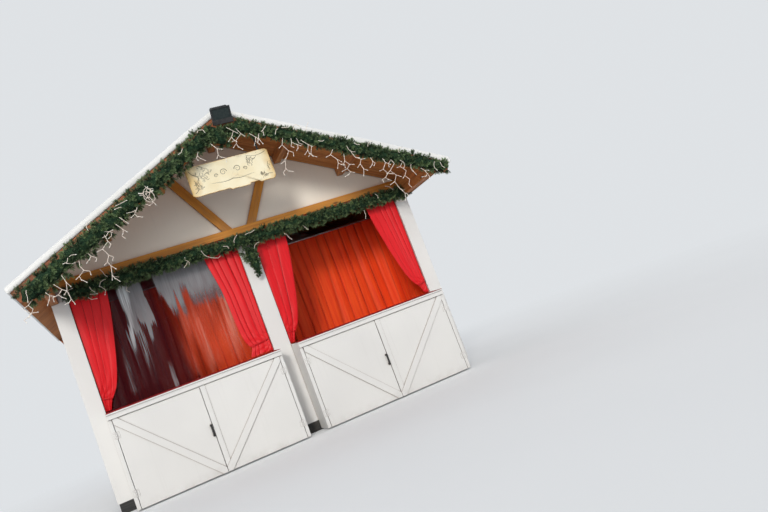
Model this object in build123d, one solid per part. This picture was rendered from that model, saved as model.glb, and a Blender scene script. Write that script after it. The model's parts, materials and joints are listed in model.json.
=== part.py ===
from build123d import *
import math
import os

# A wooden market hut with a front gable and two serving bays over cupboard counters.
# X runs to the right along the front, Y runs from the front to the back, Z is up.
# The origin lies on the ground at the centre of the base. All sizes are in millimetres.

# Body
body_width = 4000
body_depth = 3000
wall_thickness = 47
post_width = 154
centre_post_width = 186
opening_top = 2262
sill_top = 930
side_wall_top = 2130

# Base and floor
base_height = 105
base_setback = 10
base_beam_width = 80
joist_width = 60
joist_count = 5
floor_thickness = 22

# Roof
roof_pitch = 27
wall_plate_height = 180
wall_plate_width = 70
purlin_width = 70
purlin_height = 75
purlins_per_slope = 2
ridge_beam_width = 70
ridge_beam_height = 100
notch_clearance = 1
roof_board_thickness = 22
cover_thickness = 50
cover_lip = 15
cover_roll_radius = 26
front_overhang = 863
rear_overhang = 300
eave_reach = 270
barge_thickness = 22
barge_height = 120
barge_setback = 5

# Gable timbers
tie_beam_height = 78
tie_beam_thickness = 50
strut_width = 90
strut_thickness = 45
strut_foot_offset = 135
strut_lean = 30.5

# Side walls
side_recess = 12
stud_width = 224
side_opening_bottom = 1205
flap_thickness = 18
flap_lap = 14
flap_rail_height = 24
flap_rail_proud = 10
ledge_height = 280
ledge_inset = 82
ledge_thickness = 9
ledge_batten_width = 40
ledge_batten_proud = 6
ledge_batten_place = 1230

# Rear wall and door
rear_opening_top = 2080
door_from_post = 546
door_width = 800
door_gap = 4
door_thickness = 36
door_batten_height = 90
door_batten_thickness = 18
door_batten_inset = 160
door_batten_end_gap = 45
strap_length = 420
strap_width = 36
strap_thickness = 4
strap_lap = 60
door_handle_height = 1050
door_handle_inset = 70
door_handle_reach = 110
door_handle_radius = 9
door_handle_stand = 45
door_rose_radius = 24
door_rose_thickness = 8
door_lever_height = 22
door_lever_thickness = 10

# Counters
counter_depth = 300
counter_bottom = 15
counter_side_gap = 3
cheek_thickness = 35
shelf_rear_top = 960
shelf_front_top = 945
shelf_thickness = 14
shelf_nosing = 12
shelf_band_height = 46
shelf_band_thickness = 20
counter_floor_height = 70
counter_floor_thickness = 18

# Counter leaves
leaf_gap = 5
leaf_thickness = 18
leaf_batten_width = 65
leaf_batten_proud = 15
handle_length = 120
handle_width = 18
handle_reach = 30
handle_bar = 10
handle_foot = 20
handle_from_edge = 12
leaf_strip_width = 50
leaf_strip_proud = 8
handle_height = 440

# Leaf hinges
hinge_radius = 6
hinge_pin_radius = 2.5
hinge_running_gap = 0.3
hinge_plate_width = 28
hinge_plate_thickness = 2
hinge_height = 62
hinge_knuckle_height = 20
hinge_end_gap = 1
hinge_inset = 120

# Curtains and film
seat_gap = 0.3
curtain_thickness = 40
curtain_bottom = 975
curtain_tie_height = 1080
curtain_top_width = 376
curtain_belly_width = 300
curtain_narrow_tie = 95
curtain_narrow_foot = 60
curtain_wide_tie = 210
curtain_wide_foot = 250
curtain_sweep = 35
film_thickness = 2
film_lap = 20
back_curtain_depth = 1000
back_curtain_thickness = 60
back_curtain_side_gap = 26
side_curtain_front_gap = 60
back_curtain_bottom = 170
rail_radius = 12
side_rail_radius = 10
rail_above_wall = 30

# Sign
sign_width = 846
sign_height = 320
sign_thickness = 12
sign_centre = -62
sign_hang = 120
sign_strip_width = 18
sign_strip_thickness = 4
sign_strip_place = 330

# Flood light
lamp_width = 190
lamp_height = 150
lamp_depth = 115
lamp_rim = 30
lamp_stand = 50
lamp_foot_height = 60
lamp_below_apex = 40
lamp_taper = 22
lamp_tilt = 25
lamp_plate = 6
lamp_yoke_width = 30

# Garlands
left_garland_radius = 125
right_garland_radius = 100
garland_lamp_gap = 55
garland_eave_gap = 40
garland_below_boards = 2
garland_sides = 8
beam_garland_radius = 100
beam_garland_drop = 8
beam_garland_end_gap = 5
drop_top_radius = 115
drop_tip_radius = 25
drop_length = 330
drop_centre = 45

# Places worked out from the driving dimensions
half_width = body_width / 2
front = -body_depth / 2
rear = body_depth / 2
front_inner = front + wall_thickness
rear_inner = rear - wall_thickness
side_outer = half_width - side_recess
side_inner = side_outer - wall_thickness
opening_outer = half_width - post_width
opening_inner = centre_post_width / 2
floor_top = base_height + floor_thickness
door_left = opening_outer - door_from_post - door_width
rail_height = side_wall_top + rail_above_wall

slope = math.radians(roof_pitch)
rise = math.tan(slope)
soffit_apex = side_wall_top + wall_plate_height + half_width * rise
roof_thickness = roof_board_thickness + cover_thickness
cover_front = front - front_overhang
cover_rear = rear + rear_overhang
board_front = cover_front + cover_lip
board_rear = cover_rear - cover_lip
roof_half_width = half_width + eave_reach
cover_length = (roof_half_width - roof_thickness * math.sin(slope)) / math.cos(slope)
board_length = cover_length - cover_lip
barge_front = board_front + barge_setback
barge_rear = board_rear - barge_setback
purlin_front = barge_front + barge_thickness
purlin_rear = barge_rear - barge_thickness
purlin_step = (half_width - wall_plate_width / 2) / (purlins_per_slope + 1)

plate_inner = half_width - wall_plate_width
side_curtain_line = side_inner - back_curtain_side_gap - back_curtain_thickness / 2
barge_drop = barge_height / math.cos(slope)

counter_front = front - counter_depth
shelf_edge = counter_front - shelf_band_thickness
band_top = shelf_front_top - shelf_thickness
band_bottom = band_top - shelf_band_height
leaf_top = band_bottom - leaf_gap
plate_start = hinge_radius + hinge_running_gap


def soffit(x):
    """Height of the underside of the roof boards at a distance from the ridge."""
    return soffit_apex - abs(x) * rise


sign_top = soffit(abs(sign_centre) + sign_strip_place) - barge_drop - sign_hang


def block(x_range, y_range, z_range):
    """Box between two corners."""
    low = [min(pair) for pair in (x_range, y_range, z_range)]
    size = [abs(pair[1] - pair[0]) for pair in (x_range, y_range, z_range)]
    return Pos(*low) * Box(*size, align=(Align.MIN, Align.MIN, Align.MIN))


def prism_y(points, y_low, y_high):
    """Solid with an outline in X and Z that runs along Y."""
    outline = Plane.XZ.offset(-y_high) * Polygon(*points, align=None)
    return extrude(outline, amount=y_high - y_low, dir=(0, -1, 0))


def prism_x(points, x_low, x_high):
    """Solid with an outline in Y and Z that runs along X."""
    outline = Plane.YZ.offset(x_low) * Polygon(*points, align=None)
    return extrude(outline, amount=x_high - x_low, dir=(1, 0, 0))


def slope_point(side, along, off):
    """Point at a distance down the slope from the ridge and at a height square to it."""
    x = along * math.cos(slope) + off * math.sin(slope)
    z = soffit_apex - along * math.sin(slope) + off * math.cos(slope)
    return (side * x, z)


def slope_slab(side, length, low, high, y_low, y_high):
    """Slab along one slope, cut plumb at the ridge and square at the eave."""
    ridge_low = (0, soffit_apex + low / math.cos(slope))
    ridge_high = (0, soffit_apex + high / math.cos(slope))
    points = [ridge_low, slope_point(side, length, low), slope_point(side, length, high), ridge_high]
    return prism_y(points, y_low, y_high)


def both(piece):
    """The left and the right copy of a piece."""
    return piece(-1) + piece(1)


def cylinder_z(x, y, z, radius, height):
    """Upright cylinder on a foot point."""
    return Pos(x, y, z) * Cylinder(radius, height, align=(Align.CENTER, Align.CENTER, Align.MIN))


# Base and floor

def base_beams():
    reach = half_width - base_setback
    front_beam = block((-reach, reach), (front + base_setback, front + base_setback + base_beam_width),
                       (0, base_height))
    rear_beam = block((-reach, reach), (rear - base_setback - base_beam_width, rear - base_setback),
                      (0, base_height))
    return front_beam + rear_beam


def base_joists():
    y_range = (front + base_setback + base_beam_width, rear - base_setback - base_beam_width)
    reach = half_width - base_setback - joist_width / 2
    joists = Part()
    for i in range(joist_count):
        x = -reach + 2 * reach * i / (joist_count - 1)
        joists += block((x - joist_width / 2, x + joist_width / 2), y_range, (0, base_height))
    return joists


def floor():
    return block((-side_inner, side_inner), (front_inner, rear_inner), (base_height, floor_top))


# Walls

def corner_post(side, y_low, y_high):
    """Post that is notched at its top for the wall plate."""
    outline = [(side * opening_outer, base_height), (side * half_width, base_height),
               (side * half_width, side_wall_top), (side * plate_inner, side_wall_top),
               (side * plate_inner, opening_top), (side * opening_outer, opening_top)]
    return prism_y(outline, y_low, y_high)


def front_corner_post(side):
    return corner_post(side, front, front_inner)


def rear_corner_post(side):
    return corner_post(side, rear_inner, rear)


def centre_post():
    return block((-opening_inner, opening_inner), (front, front_inner), (base_height, opening_top))


def sill_wall(side):
    return block((side * opening_inner, side * opening_outer), (front, front_inner), (base_height, sill_top))


def purlin_outline(x, width, height, slack=0):
    """Outline of a purlin whose top follows the slope; slack widens it for a notch."""
    inner = abs(x) - width / 2 - slack
    outer = abs(x) + width / 2 + slack
    bottom = soffit(x) - height - slack
    side = math.copysign(1, x)
    return [(side * inner, bottom), (side * outer, bottom), (side * outer, soffit(outer)),
            (side * inner, soffit(inner))]


def ridge_outline(slack=0):
    half = ridge_beam_width / 2 + slack
    bottom = soffit_apex - ridge_beam_height - slack
    return [(-half, bottom), (half, bottom), (half, soffit(half)), (0, soffit_apex), (-half, soffit(half))]


def gable_wall(bottom, y_low, y_high):
    """Wall under the roof, notched for the ridge beam and the purlins."""
    points = [(-plate_inner, opening_top), (plate_inner, opening_top), (plate_inner, soffit(plate_inner)),
              (0, soffit_apex), (-plate_inner, soffit(plate_inner))]
    wall = prism_y(points, y_low, y_high)
    wall -= prism_y(ridge_outline(notch_clearance), y_low, y_high)
    for side in (-1, 1):
        for i in range(purlins_per_slope):
            outline = purlin_outline(side * purlin_step * (i + 1), purlin_width, purlin_height,
                                     notch_clearance)
            wall -= prism_y(outline, y_low, y_high)
    if bottom < opening_top:
        wall += block((-opening_outer, opening_outer), (y_low, y_high), (bottom, opening_top))
    return wall


def rear_wall(side):
    if side < 0:
        x_range = (-opening_outer, door_left)
    else:
        x_range = (door_left + door_width, opening_outer)
    return block(x_range, (rear_inner, rear), (base_height, rear_opening_top))


def side_wall(side):
    return block((side * side_inner, side * side_outer), (front_inner, rear_inner),
                 (base_height, side_opening_bottom + flap_lap))


def side_studs(side):
    studs = Part()
    for y_range in ((front_inner, front + stud_width + flap_lap), (rear - stud_width - flap_lap, rear_inner)):
        studs += block((side * side_inner, side * side_outer), y_range,
                       (side_opening_bottom + flap_lap, side_wall_top))
    return studs


def side_flap(side):
    """Closed flap over the side opening, with a rail along its lower edge."""
    face = side_outer + flap_thickness
    y_range = (front + stud_width, rear - stud_width)
    board = block((side * side_outer, side * face), y_range, (side_opening_bottom, side_wall_top))
    rail = block((side * face, side * (face + flap_rail_proud)), y_range,
                 (side_opening_bottom, side_opening_bottom + flap_rail_height))
    return board + rail


def side_ledge(side):
    """Board that is folded down against the wall under the flap, with an upright batten."""
    face = side_outer + ledge_thickness
    bottom = side_opening_bottom - ledge_height
    board = block((side * side_outer, side * face),
                  (front + stud_width + ledge_inset, rear - stud_width - ledge_inset),
                  (bottom, side_opening_bottom - leaf_gap))
    batten = block((side * face, side * (face + ledge_batten_proud)),
                   (front + ledge_batten_place - ledge_batten_width / 2,
                    front + ledge_batten_place + ledge_batten_width / 2),
                   (bottom, side_opening_bottom - leaf_gap))
    return board + batten


# Roof

def wall_plate(side):
    return prism_y(purlin_outline(side * (half_width - wall_plate_width / 2), wall_plate_width,
                                  soffit(half_width - wall_plate_width / 2) - side_wall_top),
                   purlin_front, purlin_rear)


def slope_purlins(side):
    group = Part()
    for i in range(purlins_per_slope):
        outline = purlin_outline(side * purlin_step * (i + 1), purlin_width, purlin_height)
        group += prism_y(outline, purlin_front, purlin_rear)
    return group


def ridge_beam():
    return prism_y(ridge_outline(), purlin_front, purlin_rear)


def roof_boards(side):
    return slope_slab(side, board_length, 0, roof_board_thickness, board_front, board_rear)


def barge_boards(side):
    front_board = slope_slab(side, board_length, -barge_height, 0, barge_front, purlin_front)
    rear_board = slope_slab(side, board_length, -barge_height, 0, purlin_rear, barge_rear)
    return front_board + rear_board


def is_outer_top(edge, side, eave_top):
    """True for the top edges along the eave and along the two rakes."""
    middle = edge.center()
    along_eave = abs(middle.X - eave_top[0]) < 1 and abs(middle.Z - eave_top[1]) < 1
    rake_z = soffit_apex + roof_thickness / math.cos(slope) - abs(middle.X) * rise
    on_rake = min(abs(middle.Y - cover_front), abs(middle.Y - cover_rear)) < 1
    along_rake = on_rake and abs(middle.Z - rake_z) < 1 and abs(middle.X) > cover_roll_radius
    return along_eave or along_rake


def roof_cover(side):
    """Cover with a soft rolled edge that wraps round the ends of the boards."""
    shell = slope_slab(side, cover_length, 0, roof_thickness, cover_front, cover_rear)
    eave_top = slope_point(side, cover_length, roof_thickness)
    top_edges = [edge for edge in shell.edges()
                 if edge.length > cover_length / 2 and is_outer_top(edge, side, eave_top)]
    shell = fillet(top_edges, cover_roll_radius)
    return shell - roof_boards(side)


# Gable timbers

def tie_beam():
    return block((-plate_inner, plate_inner), (front - tie_beam_thickness, front),
                 (opening_top, opening_top + tie_beam_height))


def strut(side):
    """Timber from the tie beam up to the roof boards, flat on the gable wall."""
    lean = math.radians(strut_lean)
    foot_z = opening_top + tie_beam_height
    half = strut_width / 2 / math.cos(lean)
    points = []
    for shift in (-half, half):
        foot_x = strut_foot_offset + shift
        head_z = (soffit_apex - rise * (foot_x - foot_z * math.tan(lean))) / (1 + rise * math.tan(lean))
        head_x = foot_x + (head_z - foot_z) * math.tan(lean)
        points.append([(side * foot_x, foot_z), (side * head_x, head_z)])
    outline = [points[0][0], points[1][0], points[1][1], points[0][1]]
    return prism_y(outline, front - strut_thickness, front)


# Rear door

def rear_door():
    x_range = (door_left + door_gap, door_left + door_width - door_gap)
    z_range = (base_height + door_gap, rear_opening_top - door_gap)
    leaf = block(x_range, (rear - door_thickness, rear), z_range)
    for z in (z_range[0] + door_batten_inset, z_range[1] - door_batten_inset - door_batten_height):
        leaf += block((x_range[0] + door_batten_end_gap, x_range[1] - door_batten_end_gap),
                      (rear - door_thickness - door_batten_thickness, rear - door_thickness),
                      (z, z + door_batten_height))
    return leaf


def rear_door_straps():
    straps = Part()
    start = door_left + door_width + strap_lap
    low = base_height + door_gap + door_batten_inset + door_batten_height / 2
    high = rear_opening_top - door_gap - door_batten_inset - door_batten_height / 2
    for z in (low, high):
        straps += block((start - strap_length, start), (rear, rear + strap_thickness),
                        (z - strap_width / 2, z + strap_width / 2))
    return straps


def rear_door_handle():
    """Lever on a round rose."""
    foot = Pos(door_left + door_gap + door_handle_inset, rear, door_handle_height) * Rot(-90, 0, 0)
    stand = foot * Cylinder(door_handle_radius, door_handle_stand,
                            align=(Align.CENTER, Align.CENTER, Align.MIN))
    rose = foot * Cylinder(door_rose_radius, door_rose_thickness,
                           align=(Align.CENTER, Align.CENTER, Align.MIN))
    start = foot.position.X - door_lever_height / 2
    lever = block((start, start + door_handle_reach),
                  (rear + door_handle_stand, rear + door_handle_stand + door_lever_thickness),
                  (door_handle_height - door_lever_height / 2, door_handle_height + door_lever_height / 2))
    return stand + rose + lever


# Counters

def counter_range(side):
    """Left and right edges of a counter, which is as wide as its bay."""
    edges = sorted((side * opening_inner, side * opening_outer))
    return edges[0] + counter_side_gap, edges[1] - counter_side_gap


def shelf_underside(y):
    share = (y - shelf_edge) / (front - shelf_edge)
    return band_top + share * (shelf_rear_top - shelf_front_top)


def counter_cheeks(side):
    low, high = counter_range(side)
    outline = [(counter_front, counter_bottom), (front, counter_bottom), (front, shelf_underside(front)),
               (counter_front, shelf_underside(counter_front))]
    return prism_x(outline, low, low + cheek_thickness) + prism_x(outline, high - cheek_thickness, high)


def counter_floor(side):
    low, high = counter_range(side)
    return block((low + cheek_thickness, high - cheek_thickness),
                 (counter_front + leaf_thickness + leaf_gap, front),
                 (counter_floor_height, counter_floor_height + counter_floor_thickness))


def counter_shelf(side):
    """Sloping shelf whose front edge stands proud of the band under it."""
    low, high = counter_range(side)
    nose = shelf_edge - shelf_nosing
    board = prism_x([(nose, shelf_underside(nose)), (front, shelf_underside(front)),
                     (front, shelf_underside(front) + shelf_thickness),
                     (nose, shelf_underside(nose) + shelf_thickness)], low, high)
    band = prism_x([(shelf_edge, band_bottom), (counter_front, band_bottom),
                    (counter_front, shelf_underside(counter_front)), (shelf_edge, band_top)],
                   low, high)
    return board + band


def leaf_range(side, hinge_side):
    """Left and right edges of a leaf; hinge_side is the side of its counter that carries it."""
    low, high = counter_range(side)
    middle = (low + high) / 2
    if hinge_side < 0:
        return low + cheek_thickness + leaf_gap, middle - leaf_gap / 2
    return middle + leaf_gap / 2, high - cheek_thickness - leaf_gap


def hinge_place(side, hinge_side):
    """X and Y of the hinge's pin, in front of the gap between cheek and leaf."""
    low, high = leaf_range(side, hinge_side)
    edge = low if hinge_side < 0 else high
    return edge + hinge_side * leaf_gap / 2, counter_front - hinge_radius


def hinge_heights():
    return (counter_bottom + hinge_inset, leaf_top - hinge_inset - hinge_height)


def leaf(side, hinge_side):
    """Leaf of a counter with its diagonal batten, its half of the hinges and a meeting strip."""
    low, high = leaf_range(side, hinge_side)
    panel = block((low, high), (counter_front, counter_front + leaf_thickness), (counter_bottom, leaf_top))
    outer, inner = (low, high) if hinge_side < 0 else (high, low)
    run = inner - outer
    drop = leaf_top - counter_bottom
    reach = leaf_batten_width / 2 * math.hypot(run, drop) / abs(run)
    strip = prism_y([(outer, leaf_top - reach), (outer, leaf_top + reach), (inner, counter_bottom + reach),
                     (inner, counter_bottom - reach)], counter_front - leaf_batten_proud, counter_front)
    strip &= block((low, high), (counter_front - leaf_batten_proud, counter_front),
                   (counter_bottom, leaf_top))
    if hinge_side > 0:
        strip += block((low, low + leaf_strip_width), (counter_front - leaf_strip_proud, counter_front),
                       (counter_bottom, leaf_top))
    pin_x, pin_y = hinge_place(side, hinge_side)
    hinges = Part()
    for z in hinge_heights():
        start = z + hinge_knuckle_height + hinge_end_gap
        height = hinge_height - 2 * (hinge_knuckle_height + hinge_end_gap)
        knuckle = cylinder_z(pin_x, pin_y, start, hinge_radius, height)
        plate = block((pin_x - hinge_side * plate_start, pin_x - hinge_side * hinge_plate_width),
                      (counter_front - hinge_plate_thickness, counter_front), (z, z + hinge_height))
        tongue = block((pin_x, pin_x - hinge_side * plate_start),
                       (counter_front - hinge_plate_thickness, counter_front), (start, start + height))
        bore = cylinder_z(pin_x, pin_y, start, hinge_pin_radius + hinge_running_gap, height)
        strip -= block((outer, pin_x - hinge_side * (hinge_plate_width + hinge_running_gap)),
                       (counter_front - leaf_batten_proud, counter_front), (z, z + hinge_height))
        hinges += (knuckle + plate + tongue) - bore
    return panel + strip + hinges


def counter_hinges(side):
    """Fixed halves of a counter's hinges: plate, two knuckles and the pin."""
    hinges = Part()
    for hinge_side in (-1, 1):
        pin_x, pin_y = hinge_place(side, hinge_side)
        for z in hinge_heights():
            plate = block((pin_x + hinge_side * plate_start, pin_x + hinge_side * hinge_plate_width),
                          (counter_front - hinge_plate_thickness, counter_front), (z, z + hinge_height))
            pin = cylinder_z(pin_x, pin_y, z, hinge_pin_radius, hinge_height)
            half = plate + pin
            for foot in (z, z + hinge_height - hinge_knuckle_height):
                half += cylinder_z(pin_x, pin_y, foot, hinge_radius, hinge_knuckle_height)
                half += block((pin_x, pin_x + hinge_side * plate_start),
                              (counter_front - hinge_plate_thickness, counter_front),
                              (foot, foot + hinge_knuckle_height))
            hinges += half
    return hinges


def leaf_handle(side):
    """Bow handle near the free edge of a counter's left leaf."""
    x = leaf_range(side, -1)[1] - handle_from_edge
    z = handle_height
    y_low = counter_front - handle_reach
    bow = block((x - handle_width / 2, x + handle_width / 2), (y_low, counter_front),
                (z - handle_length / 2, z + handle_length / 2))
    bow = fillet(bow.edges().filter_by(Axis.X).group_by(Axis.Y)[0], handle_bar)
    grip = block((x - handle_width, x + handle_width), (y_low + handle_bar, counter_front),
                 (z - handle_length / 2 + handle_foot, z + handle_length / 2 - handle_foot))
    return bow - grip


# Curtains, film and rail

def tied_curtain(post_x, direction, tie_width, foot_width):
    """Curtain that hangs beside a post, drawn back and tied to it above the shelf."""
    top = opening_top - seat_gap
    start = post_x + direction * seat_gap

    def point(width, z):
        return (start + direction * width, z)

    sweep = math.radians(curtain_sweep)
    inner = Spline(point(curtain_top_width, top),
                   point(curtain_belly_width, (top + curtain_tie_height) / 2),
                   point(tie_width, curtain_tie_height),
                   tangents=((0, -1), (-direction * math.sin(sweep), -math.cos(sweep))))
    outline = inner + Polyline(point(tie_width, curtain_tie_height), point(foot_width, curtain_bottom),
                               point(0, curtain_bottom), point(0, top), point(curtain_top_width, top))
    y_back = front + (wall_thickness + curtain_thickness) / 2
    face = Plane.XZ.offset(-y_back) * make_face(outline)
    return extrude(face, amount=curtain_thickness, dir=(0, -1, 0))


def left_bay_curtains():
    outer = tied_curtain(-opening_outer, 1, curtain_narrow_tie, curtain_narrow_foot)
    inner = tied_curtain(-opening_inner, -1, curtain_wide_tie, curtain_wide_foot)
    return outer + inner


def right_bay_curtains():
    inner = tied_curtain(opening_inner, 1, curtain_narrow_tie, curtain_narrow_foot)
    outer = tied_curtain(opening_outer, -1, curtain_narrow_tie, curtain_narrow_foot)
    return inner + outer


def clear_film():
    """Clear sheet that closes the left bay, fixed to the backs of the posts."""
    return block((-opening_outer - film_lap, -opening_inner + film_lap),
                 (front_inner + seat_gap, front_inner + seat_gap + film_thickness),
                 (sill_top - film_lap, opening_top + film_lap))


def back_rail():
    """Rod across the room and one along each side, forward to the front post."""
    y = front + back_curtain_depth
    place = Pos(-plate_inner, y, rail_height) * Rot(0, 90, 0)
    rods = place * Cylinder(rail_radius, 2 * plate_inner, align=(Align.CENTER, Align.CENTER, Align.MIN))
    side_length = y - rail_radius - seat_gap - front_inner
    for x in (-side_curtain_line, side_curtain_line):
        place = Pos(x, front_inner, rail_height) * Rot(-90, 0, 0)
        rods += place * Cylinder(side_rail_radius, side_length,
                                 align=(Align.CENTER, Align.CENTER, Align.MIN))
    return rods


def back_curtain():
    """Curtain across the room that turns forward along both sides."""
    half = back_curtain_thickness / 2
    y = front + back_curtain_depth
    z_range = (back_curtain_bottom, rail_height - rail_radius - seat_gap)
    outer = side_curtain_line + half
    inner = side_curtain_line - half
    curtain = block((-outer, outer), (front_inner + side_curtain_front_gap, y + half), z_range)
    return curtain - block((-inner, inner), (front_inner, y - half), z_range)


# Sign and lamp

def sign_y():
    middle = barge_front + barge_thickness / 2
    return middle - sign_thickness / 2, middle + sign_thickness / 2


def sign_board():
    y_low, y_high = sign_y()
    half = sign_width / 2
    board = block((sign_centre - half, sign_centre + half), (y_low, y_high),
                  (sign_top - sign_height, sign_top))
    return fillet(board.edges().filter_by(Axis.Y), sign_strip_width)


def sign_strips():
    """Two flat strips between the sign and the underside of the barge boards."""
    middle = barge_front + barge_thickness / 2
    strips = Part()
    for x in (sign_centre - sign_strip_place, sign_centre + sign_strip_place):
        ends = (x - sign_strip_width / 2, x + sign_strip_width / 2)
        under = [soffit(end) - barge_drop for end in ends]
        strips += prism_y([(ends[0], sign_top), (ends[1], sign_top), (ends[1], under[1]),
                           (ends[0], under[0])],
                          middle - sign_strip_thickness / 2, middle + sign_strip_thickness / 2)
    return strips


def lamp_pivot():
    """Y and Z of the point where the lamp meets its yoke."""
    return cover_front - lamp_stand, soffit_apex - lamp_below_apex


def lamp_housing():
    base = Plane.XZ * Rectangle(lamp_width - 2 * lamp_taper, lamp_height - 2 * lamp_taper)
    mouth = Plane.XZ.offset(lamp_depth - lamp_rim) * Rectangle(lamp_width, lamp_height)
    bowl = loft([base, mouth]) + extrude(mouth, amount=lamp_rim, dir=(0, -1, 0))
    y, z = lamp_pivot()
    return Pos(0, y, z) * Rot(lamp_tilt, 0, 0) * bowl


def lamp_yoke():
    """Flat bar from the back of the housing down to the barge boards."""
    y, z = lamp_pivot()
    low = z - lamp_plate
    outline = [(y, z), (y + lamp_plate * math.tan(math.radians(lamp_tilt)), low),
               (barge_front - lamp_plate, low), (barge_front - lamp_plate, z - lamp_foot_height),
               (barge_front, z - lamp_foot_height), (barge_front, z)]
    return prism_x(outline, -lamp_yoke_width / 2, lamp_yoke_width / 2)


# Garlands

def garland_ring(radius):
    """Many-sided section of a garland with a flat side to the back."""
    turn = Rot(0, 0, 180 / garland_sides)
    return turn * RegularPolygon(radius, garland_sides, major_radius=False)


def rake_garland(side):
    """Garland under the cover's front edge, a many-sided bar as a plain body for it."""
    radius = left_garland_radius if side < 0 else right_garland_radius
    off = -radius - garland_below_boards
    start = (lamp_width / 2 + garland_lamp_gap) / math.cos(slope)
    length = board_length - garland_eave_gap - start
    x, z = slope_point(side, start, off)
    direction = (side * math.cos(slope), 0, -math.sin(slope))
    plane = Plane(origin=(x, barge_front - radius - seat_gap, z), z_dir=direction, x_dir=(0, 1, 0))
    ring = plane * garland_ring(radius)
    return extrude(ring, amount=length, dir=direction)


def beam_garland():
    """Garland hung along the lower edge of the tie beam."""
    y = front - beam_garland_radius - seat_gap
    z = opening_top - beam_garland_radius - beam_garland_drop
    reach = plate_inner - beam_garland_end_gap
    plane = Plane(origin=(-reach, y, z), z_dir=(1, 0, 0), x_dir=(0, 1, 0))
    ring = plane * garland_ring(beam_garland_radius)
    return extrude(ring, amount=2 * reach, dir=(1, 0, 0))


def garland_drop():
    """Tapered end of the garland that hangs in front of the centre post."""
    y = front - drop_top_radius - seat_gap
    z = opening_top - 2 * beam_garland_radius - beam_garland_drop - seat_gap
    top = Pos(drop_centre, y, z) * garland_ring(drop_top_radius)
    tip = Pos(drop_centre, y, z - drop_length) * garland_ring(drop_tip_radius)
    return loft([tip, top])


def rear_door_fittings():
    return rear_door_straps() + rear_door_handle()


nodes = {
    "base_beams": base_beams(),
    "base_joists": base_joists(),
    "floor": floor(),
    "front_posts": both(front_corner_post) + centre_post(),
    "front_sill_walls": both(sill_wall),
    "front_gable": gable_wall(opening_top, front, front_inner),
    "rear_posts": both(rear_corner_post),
    "rear_walls": both(rear_wall),
    "rear_gable": gable_wall(rear_opening_top, rear_inner, rear),
    "rear_door": rear_door(),
    "rear_door_fittings": rear_door_fittings(),
    "side_walls": both(side_wall),
    "side_studs": both(side_studs),
    "side_flaps": both(side_flap),
    "side_ledges": both(side_ledge),
    "ridge_beam": ridge_beam(),
    "purlins": both(slope_purlins),
    "wall_plates": both(wall_plate),
    "tie_beam": tie_beam(),
    "gable_struts": both(strut),
    "counter_cheeks": both(counter_cheeks),
    "counter_floors": both(counter_floor),
    "counter_shelves": both(counter_shelf),
    "counter_hinges": both(counter_hinges),
    "left_bay_curtains": left_bay_curtains(),
    "right_bay_curtains": right_bay_curtains(),
    "clear_film": clear_film(),
    "back_rail": back_rail(),
    "back_curtain": back_curtain(),
    "sign_board": sign_board(),
    "sign_strips": sign_strips(),
    "lamp_housing": lamp_housing(),
    "lamp_yoke": lamp_yoke(),
    "rake_garlands": both(rake_garland),
    "beam_garland": beam_garland(),
    "garland_drop": garland_drop(),
}
for name, side in (("left", -1), ("right", 1)):
    nodes["roof_boards_" + name] = roof_boards(side)
    nodes["roof_cover_" + name] = roof_cover(side)
    nodes["barge_boards_" + name] = barge_boards(side)
    nodes[name + "_counter_left_leaf"] = leaf(side, -1)
    nodes[name + "_counter_right_leaf"] = leaf(side, 1)
    nodes[name + "_counter_handle"] = leaf_handle(side)

os.makedirs("parts", exist_ok=True)
for name, shape in nodes.items():
    export_step(shape, "parts/" + name + ".step")
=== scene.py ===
import json
import math

import bmesh
import bpy
import numpy as np
from mathutils import Matrix, Vector


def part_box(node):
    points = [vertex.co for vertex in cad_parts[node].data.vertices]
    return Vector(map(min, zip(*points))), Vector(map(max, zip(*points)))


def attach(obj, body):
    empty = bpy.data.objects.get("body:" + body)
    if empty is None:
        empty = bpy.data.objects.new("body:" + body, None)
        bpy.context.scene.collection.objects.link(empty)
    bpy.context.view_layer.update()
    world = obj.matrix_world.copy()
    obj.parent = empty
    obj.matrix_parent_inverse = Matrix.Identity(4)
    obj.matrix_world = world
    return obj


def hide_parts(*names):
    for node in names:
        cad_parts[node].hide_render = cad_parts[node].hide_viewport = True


# A wooden market hut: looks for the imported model, in metres, in the model's own frame.

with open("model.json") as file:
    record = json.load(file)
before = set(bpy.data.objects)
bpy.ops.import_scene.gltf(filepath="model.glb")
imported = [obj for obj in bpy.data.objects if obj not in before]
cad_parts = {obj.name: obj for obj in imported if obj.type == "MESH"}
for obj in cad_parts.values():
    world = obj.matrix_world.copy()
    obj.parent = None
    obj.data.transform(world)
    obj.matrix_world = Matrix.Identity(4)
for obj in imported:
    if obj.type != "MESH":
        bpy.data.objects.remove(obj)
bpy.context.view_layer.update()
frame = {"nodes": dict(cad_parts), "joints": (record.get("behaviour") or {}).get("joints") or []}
nodes = frame["nodes"]
HUT = "hut"
TURN, QUARTER = 2 * math.pi, math.pi / 2

# Places that the pieces share, read from the model
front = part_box("front_posts")[0].y
opening_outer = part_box("front_sill_walls")[1].x
film_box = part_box("clear_film")
opening_inner = -film_box[1].x + 0.02
boards_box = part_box("roof_boards_right")
board_front, board_rear = (end.y for end in boards_box)
cover_front, cover_rear = (end.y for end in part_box("roof_cover_right"))
barge_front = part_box("barge_boards_right")[0].y

# The roof's slope and layers
SLOPE = math.radians(27)
SIN, COS, TAN = math.sin(SLOPE), math.cos(SLOPE), math.tan(SLOPE)
BOARD_THICKNESS = 0.022
COVER_THICKNESS = 0.050
COVER_LIP = 0.015
ROOF_THICKNESS = BOARD_THICKNESS + COVER_THICKNESS
soffit_apex = boards_box[1].z - BOARD_THICKNESS / COS
board_length = (boards_box[1].x - BOARD_THICKNESS * SIN) / COS
cover_length = board_length + COVER_LIP

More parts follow.
